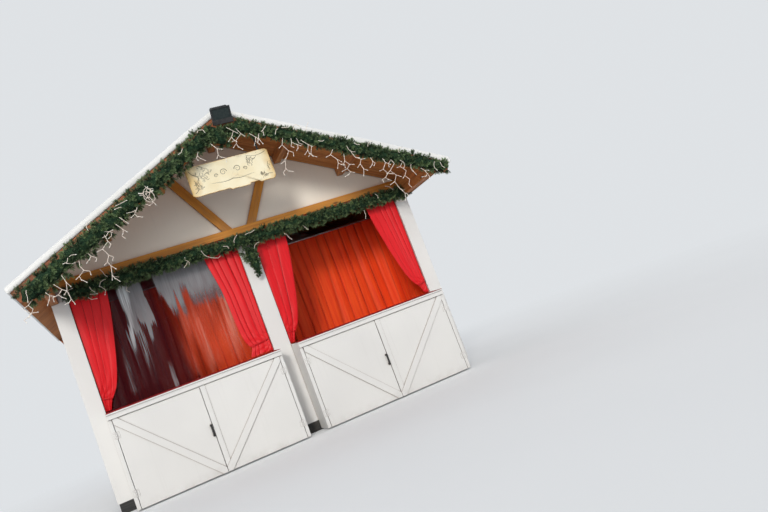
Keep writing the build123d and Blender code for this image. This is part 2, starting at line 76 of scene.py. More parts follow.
# Directions of the grain, as turns of the texture
ALONG_X = (0, 0, 0)
ALONG_Y = (0, 0, QUARTER)
ALONG_Z = (0, -QUARTER, 0)
DOWN_SLOPE = (0, SLOPE, 0)
STRUT_LEAN = (0, -math.radians(90 - 30.5), 0)


# Meshes

def node_points(name):
    """Corner points of a node's mesh."""
    return np.array([v.co for v in nodes[name].data.vertices])


def grid_faces(rows, columns, closed=False):
    """Four-sided faces of a grid whose points run row by row."""
    column = np.arange(columns if closed else columns - 1)
    start = np.arange(rows - 1)[:, None] * columns
    a, b = start + column, start + (column + 1) % columns
    return np.stack([a, b, b + columns, a + columns], -1).reshape(-1, 4)


def loft(rings, foot=True, flip=False):
    """Body through closed rings of equal count, shut at its last ring and, with foot, at its first."""
    rings = np.asarray(rings, float)
    count, sides = rings.shape[:2]
    last = (count - 1) * sides
    faces = grid_faces(count, sides, closed=True).tolist()
    faces += [list(range(sides))[::-1]] * foot + [list(range(last, last + sides))]
    return rings.reshape(-1, 3), [face[::-1] for face in faces] if flip else faces


def joined(parts):
    """Joins (points, faces) pairs into one pair."""
    points, faces, start = [], [], 0
    for part_points, part_faces in parts:
        points.append(np.asarray(part_points, float))
        faces += [[start + index for index in face] for face in part_faces]
        start += len(part_points)
    return np.concatenate(points), faces


def link(name, data):
    """Object of some data, linked into the scene."""
    made = bpy.data.objects.new(name, data)
    bpy.context.scene.collection.objects.link(made)
    return made


def add_piece(name, points, faces, finish, body=HUT, smooth=True, **attributes):
    """Makes a mesh piece that rides on a body. Attributes are numbers or vectors for each point."""
    mesh = bpy.data.meshes.new(name)
    mesh.from_pydata(np.asarray(points, float).tolist(), [], [list(face) for face in faces])
    for key, values in attributes.items():
        values = np.asarray(values, np.float32)
        kind, field = ("FLOAT", "value") if values.ndim == 1 else ("FLOAT_VECTOR", "vector")
        mesh.attributes.new(key, kind, "POINT").data.foreach_set(field, values.ravel())
    mesh.polygons.foreach_set("use_smooth", [smooth] * len(mesh.polygons))
    mesh.materials.append(materials[finish])
    mesh.update()
    piece = link(name, mesh)
    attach(piece, body)
    return piece


def stacked(*fields):
    """Points from coordinate arrays, spread to one shape."""
    return np.stack(np.broadcast_arrays(*fields), -1).reshape(-1, len(fields))


def add_cloth(name, x, y, z, finish, **attributes):
    """Makes a sheet from the coordinates of a grid of points."""
    shape = np.broadcast(x, y, z).shape
    fields = {key: np.broadcast_to(values, shape).ravel() for key, values in attributes.items()}
    return add_piece(name, stacked(x, y, z), grid_faces(*shape), finish, **fields)


def slope_point(side, along, off):
    """Point at a distance down the slope from the ridge and a height square to the soffit."""
    return side * (along * COS + off * SIN), soffit_apex - along * SIN + off * COS


def waves(rng, *fields):
    """Gives sums of sine waves of random direction over coordinate arrays, within about -1 to 1."""
    swing = 1.6

    def summed(count, *spreads):
        total = 0
        for _ in range(count):
            phase = rng.uniform(0, TURN)
            total = total + np.sin(sum(rng.normal(0, wide) * field for wide, field in zip(spreads, fields)) + phase)
        return total / count * swing

    return summed


def fold_profile(phase, sharpness):
    """Rounded crests with a narrow crease at each whole number: 1 on a crest, -1 in a crease."""
    return 2 * np.abs(np.sin(math.pi * phase)) ** sharpness - 1


def clamp(value, low=0, high=1):
    return np.clip(value, low, high)


def bell(offset):
    return np.exp(-offset ** 2)


def unit(vectors):
    return vectors / np.maximum(np.linalg.norm(vectors, axis=-1, keepdims=True), 1e-9)


def circle(count):
    """Angles of evenly spaced points round a circle."""
    return np.arange(count) * TURN / count


def lengths_along(path):
    """Length of a path from its start to each of its points."""
    return np.concatenate([[0], np.cumsum(np.linalg.norm(np.diff(path, axis=0), axis=1))])


def at_lengths(path, run):
    """Points of a path at lengths from its start."""
    path = np.asarray(path, float)
    return np.stack([np.interp(run, lengths_along(path), column) for column in path.T], -1)


def tube(path, radius, sides=6):
    """Round bar along a list of points, closed at both ends."""
    path = np.asarray(path, float)
    ahead = unit(np.gradient(path, axis=0))
    guide = (0, 1, 0) if abs(ahead[0][1]) < 0.9 else (1, 0, 0)
    across = unit(np.cross(ahead, guide))
    up = np.cross(across, ahead)
    angle = circle(sides)[:, None]
    ring = across[:, None] * np.cos(angle) + up[:, None] * np.sin(angle)
    return loft(path[:, None] + ring * np.broadcast_to(radius, len(path))[:, None, None])


# Materials

class Nodes:
    """Adds nodes with their inputs to a node tree."""

    def __init__(self, tree):
        self.nodes, self.links = tree.nodes, tree.links

    def put(self, node, inputs):
        for key, value in inputs.items():
            socket = node.inputs[key]
            if isinstance(value, bpy.types.NodeSocket):
                self.links.new(value, socket)
            else:
                socket.default_value = (*value, 1) if socket.type == "RGBA" else value

    def add(self, kind, inputs=None, **settings):
        node = self.nodes.new("ShaderNode" + kind)
        for key, value in settings.items():
            setattr(node, key, value)
        self.put(node, inputs or {})
        return node

    def calc(self, operation, value, *others):
        """Sum, product or the like of two or more values."""
        for other in others:
            value = self.add("Math", {0: value, 1: other}, operation=operation).outputs[0]
        return value

    def plus(self, *values):
        return self.calc("ADD", *values)

    def times(self, *values):
        return self.calc("MULTIPLY", *values)

    def most(self, *values):
        return self.calc("MAXIMUM", *values)


class Material(Nodes):
    """Builds a material around its Principled shader, with a colour that is laid on in layers."""

    def __init__(self, name, **settings):
        self.data = bpy.data.materials.new(name)
        self.data.use_nodes = True
        super().__init__(self.data.node_tree)
        self.shader = self.nodes["Principled BSDF"]
        self.set(**settings)

    def set(self, **inputs):
        self.put(self.shader, {key.replace("_", " "): value for key, value in inputs.items()})

    def place(self, size=(1, 1, 1), turn=ALONG_X, source=None, mirror=False):
        """Coordinates in steps of size, turned so that the first step lies along the grain."""
        if source:
            start = self.add("Attribute", attribute_name=source).outputs["Vector"]
        else:
            start = self.add("TexCoord").outputs["Object"]
        if mirror:
            start = self.add("VectorMath", {0: start}, operation="ABSOLUTE").outputs[0]
        return self.add("Mapping", {"Vector": start, "Rotation": turn, "Scale": size},
                        vector_type="TEXTURE").outputs[0]

    def noise(self, scale, detail=2.0, roughness=0.5, distortion=0.0, place=None):
        place = self.place() if place is None else place
        return self.add("TexNoise", {"Vector": place, "Scale": scale, "Detail": detail,
                                     "Roughness": roughness, "Distortion": distortion}).outputs[0]

    def grain(self, length, width, turn, detail=2.0, roughness=0.5, distortion=0.0, **where):
        """Noise drawn out along the grain."""
        return self.noise(1, detail, roughness, distortion, self.place((length, width, width), turn, **where))

    def cells(self, scale, feature="F1", place=None):
        place = self.place() if place is None else place
        return self.add("TexVoronoi", {"Vector": place, "Scale": scale}, feature=feature).outputs["Distance"]

    def span(self, value, low, high, start=0.0, end=1.0):
        """Value between low and high, mapped to start and end."""
        return self.add("MapRange", {"Value": value, "From Min": low, "From Max": high,
                                     "To Min": start, "To Max": end}).outputs[0]

    def mix(self, share, first, second):
        return self.add("Mix", {0: share, 6: first, 7: second}, data_type="RGBA").outputs[2]

    def base(self, share, first, second):
        """First layer of the colour, between two tints."""
        self.tint = self.mix(share, first, second)

    def over(self, share, tint):
        """Next layer of the colour, over what is there."""
        self.tint = self.mix(share, self.tint, tint)

    def attribute(self, name):
        return self.add("Attribute", attribute_name=name).outputs["Fac"]

    def axes(self):
        """X, Y and Z of the place on the object."""
        return self.add("SeparateXYZ", {0: self.place()}).outputs

    def edge(self, radius):
        """Share from 0 on a face to 1 at its edges."""
        rounded = self.add("Bevel", {"Radius": radius}, samples=4).outputs[0]
        face = self.add("NewGeometry").outputs["Normal"]
        turn = self.add("VectorMath", {0: rounded, 1: face}, operation="DOT_PRODUCT").outputs["Value"]
        return self.span(turn, 0.97, 0.8)

    def corner_shade(self, distance, most):
        """Share from 0 in the open to most in a narrow corner: painted shade, read from ambient occlusion."""
        clear = self.add("AmbientOcclusion", {"Distance": distance}, samples=6).outputs["AO"]
        return self.span(clear, 0.82, 0.35, 0, most)

    def bump(self, height, distance, strength, round_edges=0.0):
        inputs = {"Height": height, "Distance": distance, "Strength": strength}
        if round_edges:
            inputs["Normal"] = self.add("Bevel", {"Radius": round_edges}, samples=4).outputs[0]
        self.set(Normal=self.add("Bump", inputs).outputs[0])

    def finish(self, **inputs):
        self.set(Base_Color=self.tint, **inputs)
        return self.data


def shade(tint, factor):
    return tuple(min(1, factor * part) for part in tint)


def white_paint(name="white_paint", first=(0.80, 0.795, 0.78), second=(0.745, 0.74, 0.73)):
    """Brushed white paint on boards, with painted shade in corners and narrow gaps, worn edges and a little splash
    at the foot.
    """
    m = Material(name, Specular_IOR_Level=0.4)
    m.base(m.span(m.noise(1.1, 3), 0.35, 0.7), first, second)
    m.over(m.span(m.grain(0.9, 0.035, ALONG_Z, 5, 0.6), 0.58, 0.82, 0, 0.25), (0.62, 0.615, 0.60))
    # Painted shade: darker in corners, and darker still in narrow gaps such as round the leaves and under the
    # shelf's nose.
    m.over(m.corner_shade(0.035, 0.6), (0.40, 0.35, 0.31))
    m.over(m.corner_shade(0.013, 0.85), (0.13, 0.066, 0.058))
    m.over(m.span(m.noise(60), 0.73, 0.78, 0, 0.3), (0.42, 0.40, 0.36))
    low_down = m.span(m.axes()[2], 0.10, 0.0, 0, 0.4)
    m.over(m.times(low_down, m.span(m.noise(9, 5, 0.65), 0.4, 0.75)), (0.40, 0.36, 0.31))
    m.over(m.times(m.edge(0.004), m.span(m.noise(14, 4), 0.45, 0.62, 0, 0.55)), (0.50, 0.46, 0.40))
    grain = m.grain(0.30, 0.006, ALONG_Z, 4, 0.55)
    m.bump(grain, 0.0009, 0.5, round_edges=0.003)
    return m.finish(Roughness=m.span(grain, 0.3, 0.7, 0.38, 0.55))


def wood(name, pale, dark, turn, roughness=0.55, weather=0.25, gloss=0.35, **where):
    """Stained wood with fibres, wide growth rings and a few knots along the grain."""
    m = Material(name, Specular_IOR_Level=gloss)
    rings = m.grain(0.75, 0.028, turn, 3, 0.5, 0.6, **where)
    fibres = m.grain(0.16, 0.0035, turn, 3, 0.6, **where)
    grey = m.grain(0.6, 0.3, turn, 5, 0.65, **where)
    knots = m.cells(1, place=m.place((0.42, 0.15, 0.15), turn, **where))
    m.base(m.plus(m.span(rings, 0.3, 0.7, 0, 0.75), m.span(fibres, 0.3, 0.7, -0.1, 0.3), m.attribute("tone")),
           pale, dark)
    m.over(m.span(knots, 0.11, 0.05, 0, 0.85), shade(dark, 0.3))
    m.over(m.span(grey, 0.5, 0.75, 0, weather), (0.20, 0.15, 0.11))
    # Painted shade in corners and narrow gaps.
    m.over(m.corner_shade(0.03, 0.5), shade(dark, 0.35))
    m.over(m.times(m.edge(0.003), m.span(grey, 0.4, 0.6, 0.1, 0.6)), shade(pale, 1.35))
    m.bump(m.plus(fibres, rings), 0.0012, 0.5, round_edges=0.002)
    return m.finish(Roughness=m.span(fibres, 0.3, 0.7, roughness - 0.08, roughness + 0.12))


def dark_base():
    m = Material("dark_base", Specular_IOR_Level=0.25)
    grain, dust = m.grain(0.3, 0.01, ALONG_X, 4), m.noise(7, 5, 0.6)
    m.base(m.span(grain, 0.3, 0.7), (0.028, 0.030, 0.032), (0.060, 0.060, 0.058))
    m.over(m.span(dust, 0.5, 0.8, 0, 0.5), (0.16, 0.13, 0.10))
    m.bump(grain, 0.001, 0.6, round_edges=0.003)
    return m.finish(Roughness=m.span(dust, 0.3, 0.7, 0.7, 0.9))


def red_cloth():
    """Light satin curtain cloth: fine weave, soft sheen, with painted shade in its creases and corners."""
    m = Material("red_cloth", Sheen_Weight=0.12, Sheen_Roughness=0.35, Specular_IOR_Level=0.3,
                 Sheen_Tint=(1.0, 0.3, 0.3))
    m.base(m.span(m.grain(0.4, 0.02, ALONG_Z, 3), 0.3, 0.7), (0.80, 0.007, 0.014), (0.66, 0.005, 0.010))
    # Painted shade: the crease attribute darkens the hollows of the folds, and corners darken where parts meet.
    m.over(m.span(m.attribute("crease"), 0.05, 0.9, 0, 0.85), (0.11, 0.001, 0.002))
    m.over(m.corner_shade(0.03, 0.6), (0.16, 0.001, 0.002))
    weave = m.grain(0.004, 0.0009, ALONG_X, 1)
    m.bump(weave, 0.0003, 0.35)
    return m.finish(Roughness=m.span(weave, 0.3, 0.7, 0.44, 0.58))


def orange_red_cloth():
    """Cloth at the back of the room, a shade more orange than the front curtains."""
    m = Material("back_cloth", Sheen_Weight=0.12, Sheen_Roughness=0.4, Specular_IOR_Level=0.2,
                 Sheen_Tint=(1.0, 0.5, 0.35), Roughness=0.6)
    m.base(m.span(m.grain(0.5, 0.03, ALONG_Z, 3), 0.3, 0.7), (0.96, 0.100, 0.017), (0.84, 0.054, 0.011))
    # Painted shade in the pleats' hollows and in corners.
    m.over(m.span(m.attribute("crease"), 0.0, 1.0, 0, 0.85), (0.26, 0.008, 0.003))
    m.over(m.corner_shade(0.06, 0.5), (0.22, 0.004, 0.003))
    m.bump(m.grain(0.0012, 0.0012, ALONG_X, 1), 0.0004, 0.4)
    return m.finish()


def red_felt():
    m = Material("shelf_felt", Sheen_Weight=0.08, Sheen_Roughness=0.5, Specular_IOR_Level=0.1,
                 Sheen_Tint=(1.0, 0.2, 0.2), Roughness=0.9)
    m.base(m.span(m.noise(6, 4), 0.35, 0.7), (0.34, 0.004, 0.008), (0.22, 0.004, 0.009))
    m.bump(m.noise(260, 4, 0.7), 0.0012, 0.7)
    return m.finish()


def clear_film():
    """Clear soft plastic with painted light: grey and near-white reflections in streaks that hang from the top,
    painted shade darkening its left side, pale bands of lit cloth elsewhere.
    """
    m = Material("clear_film", Roughness=0.15, IOR=1.45, Specular_IOR_Level=0.08)
    low, high = film_box
    x, _, z = m.axes()
    across, down = m.span(x, low.x, high.x), m.span(z, high.z, low.z)
    fibres = m.grain(0.30, 0.010, ALONG_Z, 3)
    bands = m.grain(1.6, 0.075, ALONG_Z, 2, 0.6)
    lane = m.plus(across, m.span(m.grain(0.55, 0.045, ALONG_Z), 0.3, 0.7, -0.009, 0.009))
    frayed = m.plus(down, m.span(fibres, 0.3, 0.7, -0.050, 0.050))

    def streaks(*shapes):
        """Share of streaks given by left and right edge at the top, the same at the foot, foot and fade."""
        parts = []
        for *edges, foot, fade in shapes:
            left, right = (m.span(down, 0.17, foot, edges[k], edges[k + 2]) for k in (0, 1))
            parts.append(m.times(m.span(m.calc("SUBTRACT", lane, left), -0.004, 0.006),
                                 m.span(m.calc("SUBTRACT", right, lane), -0.004, 0.006),
                                 m.span(frayed, foot, foot - fade)))
        return m.most(*parts)

    # Painted reflections: near-white and grey streaks that hang from the top, thin lines and a small glint, as fixed
    # shapes on the sheet.
    bright_reflections = streaks((0.268, 0.316, 0.284, 0.296, 0.49, 0.22), (0.286, 0.296, 0.262, 0.269, 0.62, 0.12))
    reflection_streaks = streaks((0.322, 0.392, 0.345, 0.415, 0.46, 0.14), (0.320, 0.350, 0.286, 0.296, 0.52, 0.18),
                    (0.352, 0.402, 0.360, 0.376, 0.60, 0.24), (0.474, 0.580, 0.526, 0.538, 0.48, 0.12),
                    (0.474, 0.860, 0.480, 0.860, 0.30, 0.06), (0.562, 0.608, 0.578, 0.596, 0.48, 0.12),
                    (0.624, 0.860, 0.640, 0.860, 0.44, 0.14))
    reflection_lines = streaks((0.236, 0.248, 0.256, 0.262, 0.84, 0.34), (0.320, 0.330, 0.322, 0.327, 0.84, 0.36))
    reflection_lines = m.times(reflection_lines, m.span(down, 0.42, 0.52), m.span(fibres, 0.4, 0.6), 0.34)
    glint = m.times(streaks((0.401, 0.413, 0.404, 0.416, 1.02, 0.10)), m.span(frayed, 0.76, 0.92), 0.24)
    reflection_lines = m.most(reflection_lines, glint)
    # Painted light: pale bands where the lit red cloth behind shows through, pinkish beige in places.
    pale = m.times(m.span(bands, 0.36, 0.60, 0.30, 1), m.span(m.grain(0.45, 0.20, ALONG_Z), 0.35, 0.55, 0.55, 1),
                   m.span(across, 0.50, 0.57), m.span(across, 0.92, 0.80, 0.4, 1), m.span(frayed, 1.0, 0.60), 0.62)
    # Painted shade: a dark maroon tint that darkens the sheet's left side.
    edge = m.plus(lane, m.times(down, -0.13))
    painted_left_shade = m.times(m.span(edge, 0.47, 0.37), m.span(bands, 0.35, 0.62, 1, 0.86), 0.84)
    # Painted reflection along the crests of the sheet's wrinkles.
    crest = m.times(m.span(m.attribute("crest"), 0.60, 1.0), m.span(fibres, 0.40, 0.65), 0.16)
    reflection_share = m.times(m.most(reflection_streaks, bright_reflections), m.span(fibres, 0.3, 0.6, 0.74, 0.90))
    # Colours: dark maroon for the painted shade, red to pinkish beige for the painted light of the pale bands, grey
    # and near-white for the painted reflections.
    lit_cloth_tint = m.mix(m.span(bands, 0.50, 0.66), (0.80, 0.115, 0.060), (0.84, 0.36, 0.27))
    m.base(m.span(pale, 0.02, 0.14), (0.034, 0.002, 0.005), lit_cloth_tint)
    m.over(m.span(m.plus(reflection_share, reflection_lines, crest), 0.0, 0.14), (0.235, 0.240, 0.255))
    m.over(m.times(bright_reflections, m.span(fibres, 0.35, 0.6, 0.4, 1)), (0.80, 0.85, 0.88))
    m.bump(bands, 0.004, 0.3)
    return m.finish(Alpha=m.plus(m.most(reflection_share, pale, crest, reflection_lines, painted_left_shade), 0.04))


def white_cover():
    """Coated white sheet with welded seams that run down the slope and faint dirt runs."""
    m = Material("white_cover", Specular_IOR_Level=0.45, Coat_Weight=0.12, Coat_Roughness=0.35)
    m.base(m.span(m.noise(0.9, 3), 0.35, 0.7), (0.83, 0.83, 0.82), (0.76, 0.765, 0.76))
    runs = m.grain(0.8, 0.05, DOWN_SLOPE, 5, 0.65, mirror=True)
    m.over(m.span(runs, 0.55, 0.82, 0, 0.35), (0.55, 0.54, 0.50))
    seam = m.span(m.calc("PINGPONG", m.plus(m.axes()[1], 0.37), 0.68), 0.026, 0.021)
    m.over(m.times(seam, 0.3), (0.62, 0.62, 0.61))
    wrinkles = m.noise(3.5, 2, 0.4)
    m.bump(m.plus(m.times(wrinkles, 0.8), m.times(seam, 0.25)), 0.003, 0.35)
    return m.finish(Roughness=m.span(wrinkles, 0.3, 0.7, 0.36, 0.5))


def garland_green():
    """Cut plastic needles in darker and lighter clumps, with a tone that runs from painted shade at the roots and
    core to painted highlight at the grey-green tips.
    """
    m = Material("garland_green", Specular_IOR_Level=0.3)
    tone = m.attribute("tone")
    m.base(tone, (0.005, 0.019, 0.009), (0.30, 0.43, 0.19))
    m.over(m.span(m.noise(9), 0.35, 0.65, 0, 0.25), (0.030, 0.078, 0.036))
    m.over(m.span(m.noise(21), 0.46, 0.62, 0, 0.60), (0.006, 0.022, 0.012))
    flecks = m.noise(1, 3, 0.7, place=m.place((0.011, 0.007, 0.011)))
    m.over(m.times(m.span(tone, 0.03, 0.0), m.span(flecks, 0.50, 0.60, 0, 0.7)), (0.045, 0.100, 0.042))
    return m.finish(Roughness=m.span(tone, 0.0, 0.15, 1.0, 0.45))


def sign_cream():
    """Parchment look: cream with freckles, fine cracks and browned edges."""
    m = Material("sign_cream", Roughness=0.55, Specular_IOR_Level=0.3)
    m.base(m.span(m.noise(7, 4), 0.3, 0.7), (0.90, 0.83, 0.62), (0.84, 0.74, 0.50))
    freckles = m.noise(95, 3, 0.6)
    m.over(m.span(freckles, 0.64, 0.72, 0, 0.35), (0.50, 0.37, 0.20))
    cracks = m.span(m.cells(13, "DISTANCE_TO_EDGE"), 0.03, 0.0)
    m.over(m.times(cracks, m.span(m.noise(5), 0.52, 0.64), 0.45), (0.34, 0.30, 0.24))
    for edge, noise, wander, fade, tint in (
            ("rim", (5, 2), (0.35, 0.65, -0.25, 0.30), (0.15, 0.9, 0, 0.75), (0.74, 0.52, 0.22)),
            ("ends", (6, 3), (0.3, 0.7, -0.12, 0.12), (0.74, 0.99, 0, 0.8), (0.68, 0.46, 0.17)),
            ("rim", (24, 4), (0.3, 0.7, -0.35, 0.35), (0.6, 1.15, 0, 0.9), (0.46, 0.26, 0.09))):
        m.over(m.span(m.plus(m.attribute(edge), m.span(m.noise(*noise), *wander)), *fade), tint)
    m.bump(freckles, 0.0008, 0.4)
    return m.finish()


def lamp_grey():
    m = Material("lamp_grey", Specular_IOR_Level=0.3)
    dust = m.noise(22, 4)
    m.base(m.span(dust, 0.45, 0.75), (0.016, 0.019, 0.022), (0.038, 0.041, 0.042))
    m.bump(m.noise(320), 0.0005, 0.5, round_edges=0.004)
    return m.finish(Roughness=m.span(dust, 0.3, 0.7, 0.42, 0.65))


def steel():
    m = Material("steel", Metallic=1.0)
    bloom, spots = m.cells(90), m.noise(40, 4)
    m.base(bloom, (0.58, 0.59, 0.60), (0.40, 0.41, 0.42))
    m.over(m.span(spots, 0.62, 0.72, 0, 0.6), (0.25, 0.12, 0.05))
    m.bump(spots, 0.0003, 0.5, round_edges=0.001)
    return m.finish(Roughness=m.span(bloom, 0, 1, 0.32, 0.48))


def black_plastic():
    m = Material("black_plastic", Specular_IOR_Level=0.5)
    grain = m.noise(500)
    m.base(m.span(m.noise(25, 3), 0.3, 0.7), (0.012, 0.012, 0.013), (0.03, 0.03, 0.03))
    m.bump(grain, 0.0003, 0.5, round_edges=0.002)
    return m.finish(Roughness=m.span(grain, 0.3, 0.7, 0.32, 0.5))


def plain_plastic(name, first, second, roughness, gloss=0.4):
    """Small moulded or coated part: faint mottling over one colour."""
    m = Material(name, Roughness=roughness, Specular_IOR_Level=gloss)
    m.base(m.span(m.noise(60, 3), 0.35, 0.65), first, second)
    return m.finish()


# Brown of the soffit and the brown wood parts: lighter than the barge boards' red-brown, as painted light standing
# in for sun under the eaves.
BROWN = (0.66, 0.275, 0.080), (0.34, 0.118, 0.036)
RED_BROWN = (0.40, 0.130, 0.045), (0.18, 0.052, 0.020)
ORANGE = (0.72, 0.32, 0.050), (0.44, 0.155, 0.024)
BARE = (0.42, 0.28, 0.15), (0.26, 0.16, 0.08)

materials = {made.name.split(".")[0]: made for made in (
    dark_base(), white_paint(), red_cloth(), clear_film(), white_cover(), garland_green(), sign_cream(),
    lamp_grey(), steel(), black_plastic(), orange_red_cloth(), red_felt(),
    wood("brown_wood", *BROWN, ALONG_Y),
    wood("orange_wood", *ORANGE, ALONG_X),
    wood("floor_wood", *BARE, ALONG_X, source="grain", roughness=0.7, weather=0.4),
    wood("soffit_wood", *BROWN, ALONG_X, source="grain", roughness=0.6, gloss=0.12),
    wood("barge_wood", *RED_BROWN, DOWN_SLOPE, mirror=True),
    wood("strut_wood", *ORANGE, STRUT_LEAN, mirror=True, weather=0.7),
    # Cream paint of the gable, lighter than the white paint: partly its own cream tint, partly painted light
    # standing in for sun on the gable.
    white_paint("gable_paint", (0.92, 0.865, 0.765), (0.88, 0.82, 0.715)),
    plain_plastic("sign_ink", (0.14, 0.125, 0.09), (0.20, 0.17, 0.12), 0.7),
    plain_plastic("wire_white", (0.88, 0.79, 0.70), (0.80, 0.70, 0.61), 0.4),
    plain_plastic("bulb_white", (0.90, 0.88, 0.82), (0.82, 0.80, 0.72), 0.15),
    plain_plastic("lamp_glass", (0.016, 0.026, 0.027), (0.030, 0.040, 0.040), 0.12, 0.2))}


def dress_nodes():
    """Gives every node of the model that stays in view its finish."""
    special = {"barge_boards_left": "barge_wood", "barge_boards_right": "barge_wood",
               "gable_struts": "strut_wood", "front_gable": "gable_paint", "sign_strips": "lamp_grey"}
    for name, node in nodes.items():
        own = node.material_slots[0].material.name
        finish = special.get(name) or next(key for key in materials if own.startswith(key))
        for entry in node.material_slots:
            entry.material = materials[finish]


# Roof and floor

def laid_boards(name, ends, width, gap, seed, tones, shift, board, finish):
    """Boards side by side, each with its own tone and its own stretch of grain."""
    rng = np.random.default_rng(seed)
    count = round((ends[1] - ends[0]) / width)
    pitch = (ends[1] - ends[0]) / count
    parts, tone, grain = [], [], []
    for index in range(count):
        low = ends[0] + index * pitch + gap
        body, along = board(low, low + pitch - 2 * gap)
        parts.append(body)
        tone += [rng.uniform(*tones)] * len(along)
        grain.append(along + (shift * index, 0, 0))
    return add_piece(name, *joined(parts), finish, smooth=False, tone=tone, grain=np.concatenate(grain))


def roof_boards(side, name):
    """Soffit of boards that run down the slope, with a chamfered joint between neighbours."""
    chamfer = 0.004

    def board(low, high):
        outline = [(low + chamfer, 0), (high - chamfer, 0), (high, chamfer), (high, BOARD_THICKNESS),
                   (low, BOARD_THICKNESS), (low, chamfer)]
        grain = np.array([(board_length if end else -off * TAN, y, off) for end in (0, 1) for y, off in outline])
        x, z = slope_point(side, grain[:, 0], grain[:, 2])
        return loft(stacked(x, grain[:, 1], z).reshape(2, -1, 3), flip=side < 0), grain

    piece = laid_boards(name, (board_front, board_rear), 0.115, 0.0006, 3 + side, (-0.22, 0.28), 7.3, board,
                        "soffit_wood")
    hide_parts(name.replace("soffit", "roof_boards"))


def floor_boards():
    low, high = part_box("floor")
    chamfer = 0.002

    def board(y_low, y_high):
        outline = [(y_low, low.z), (y_high, low.z), (y_high, high.z - chamfer), (y_high - chamfer, high.z),
                   (y_low + chamfer, high.z), (y_low, high.z - chamfer)]
        body = loft([[(x, y, z) for y, z in outline] for x in (low.x, high.x)], flip=True)
        return body, body[0]

    piece = laid_boards("floor_boards", (low.y, high.y), 0.12, 0.0012, 21, (-0.2, 0.25), 5.1, board,
                        "floor_wood")
    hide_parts("floor")


def roof_cover():
    """White sheet over both slopes, wrapped round the ends of the boards on all four sides."""
    # Its edge from the top over the roll, down the face and under the lip: places out and down
    roll, turn, low_turn = 0.030, 0.020, ROOF_THICKNESS - 0.020
    over, under = np.linspace(0, QUARTER, 8), np.linspace(0.3, 1.25, 5)
    out = np.concatenate([roll * (np.sin(over) - 1), (0.0015, 0.002, 0), turn * (np.cos(under) - 1)])
    edge_drop = np.concatenate([roll * (1 - np.cos(over)), (roll + 0.006, ROOF_THICKNESS * 0.6, low_turn),
                                low_turn + turn * np.sin(under)])

    def lay(high, steps):
        """Places from the middle out to one edge, with their drop and whether they are on the wrap."""
        inner = np.linspace(0, high + out[0], steps)[:-1]
        place = np.concatenate([inner, high + out])
        fall = np.concatenate([0 * inner, edge_drop])
        tail = np.arange(len(place)) >= len(inner) + len(over)
        return [np.concatenate([sign * part[:0:-1], part]) for part, sign in ((place, -1), (fall, 1), (tail, 1))]

    middle = (cover_front + cover_rear) / 2
    s, along_drop, along_tail = lay(cover_length + ROOF_THICKNESS * TAN, 80)
    deep, deep_drop, deep_tail = lay(cover_rear - middle, 70)
    s, y = np.meshgrid(s, middle + deep, indexing="ij")
    drop = along_drop[:, None] + deep_drop
    off = ROOF_THICKNESS - np.minimum(ROOF_THICKNESS, drop)
    reach, z = slope_point(1, np.abs(s) - ROOF_THICKNESS * TAN, off)
    x = np.sign(s) * reach
    noise = waves(np.random.default_rng(11), x, y)
    wave, sag, ripple = noise(9, 4.0, 4.0), noise(5, 1.4, 1.6), noise(7, 7.0, 7.0)
    rounding = (np.hypot(reach, 0.05) - np.abs(reach)) * TAN
    z = z - rounding + off / ROOF_THICKNESS * (0.003 * wave + 0.006 * sag - 0.004)
    z = z + np.minimum(1, drop / 0.02) * 0.0012 * ripple
    y = y + 0.0015 * ripple * np.sign(y - middle) * (deep_drop > 0)
    faces = grid_faces(*s.shape)
    row, column = np.divmod(faces[:, 0], len(deep))
    doubled = (along_tail[row] + along_tail[row + 1] > 0) & (deep_tail[column] + deep_tail[column + 1] > 0)
    piece = add_piece("roof_cover", stacked(x, y, z), faces[~doubled], "white_cover")
    tidy = bmesh.new()
    tidy.from_mesh(piece.data)
    bmesh.ops.remove_doubles(tidy, verts=tidy.verts, dist=0.0002)
    bmesh.ops.delete(tidy, geom=[v for v in tidy.verts if not v.link_faces], context="VERTS")
    bmesh.ops.recalc_face_normals(tidy, faces=tidy.faces)
    tidy.to_mesh(piece.data)
    tidy.free()
    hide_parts("roof_cover_left", "roof_cover_right")


# Curtains, film and shelf cloth

TIE_HEIGHT = 1.08
ROUTE_INSET = 0.030


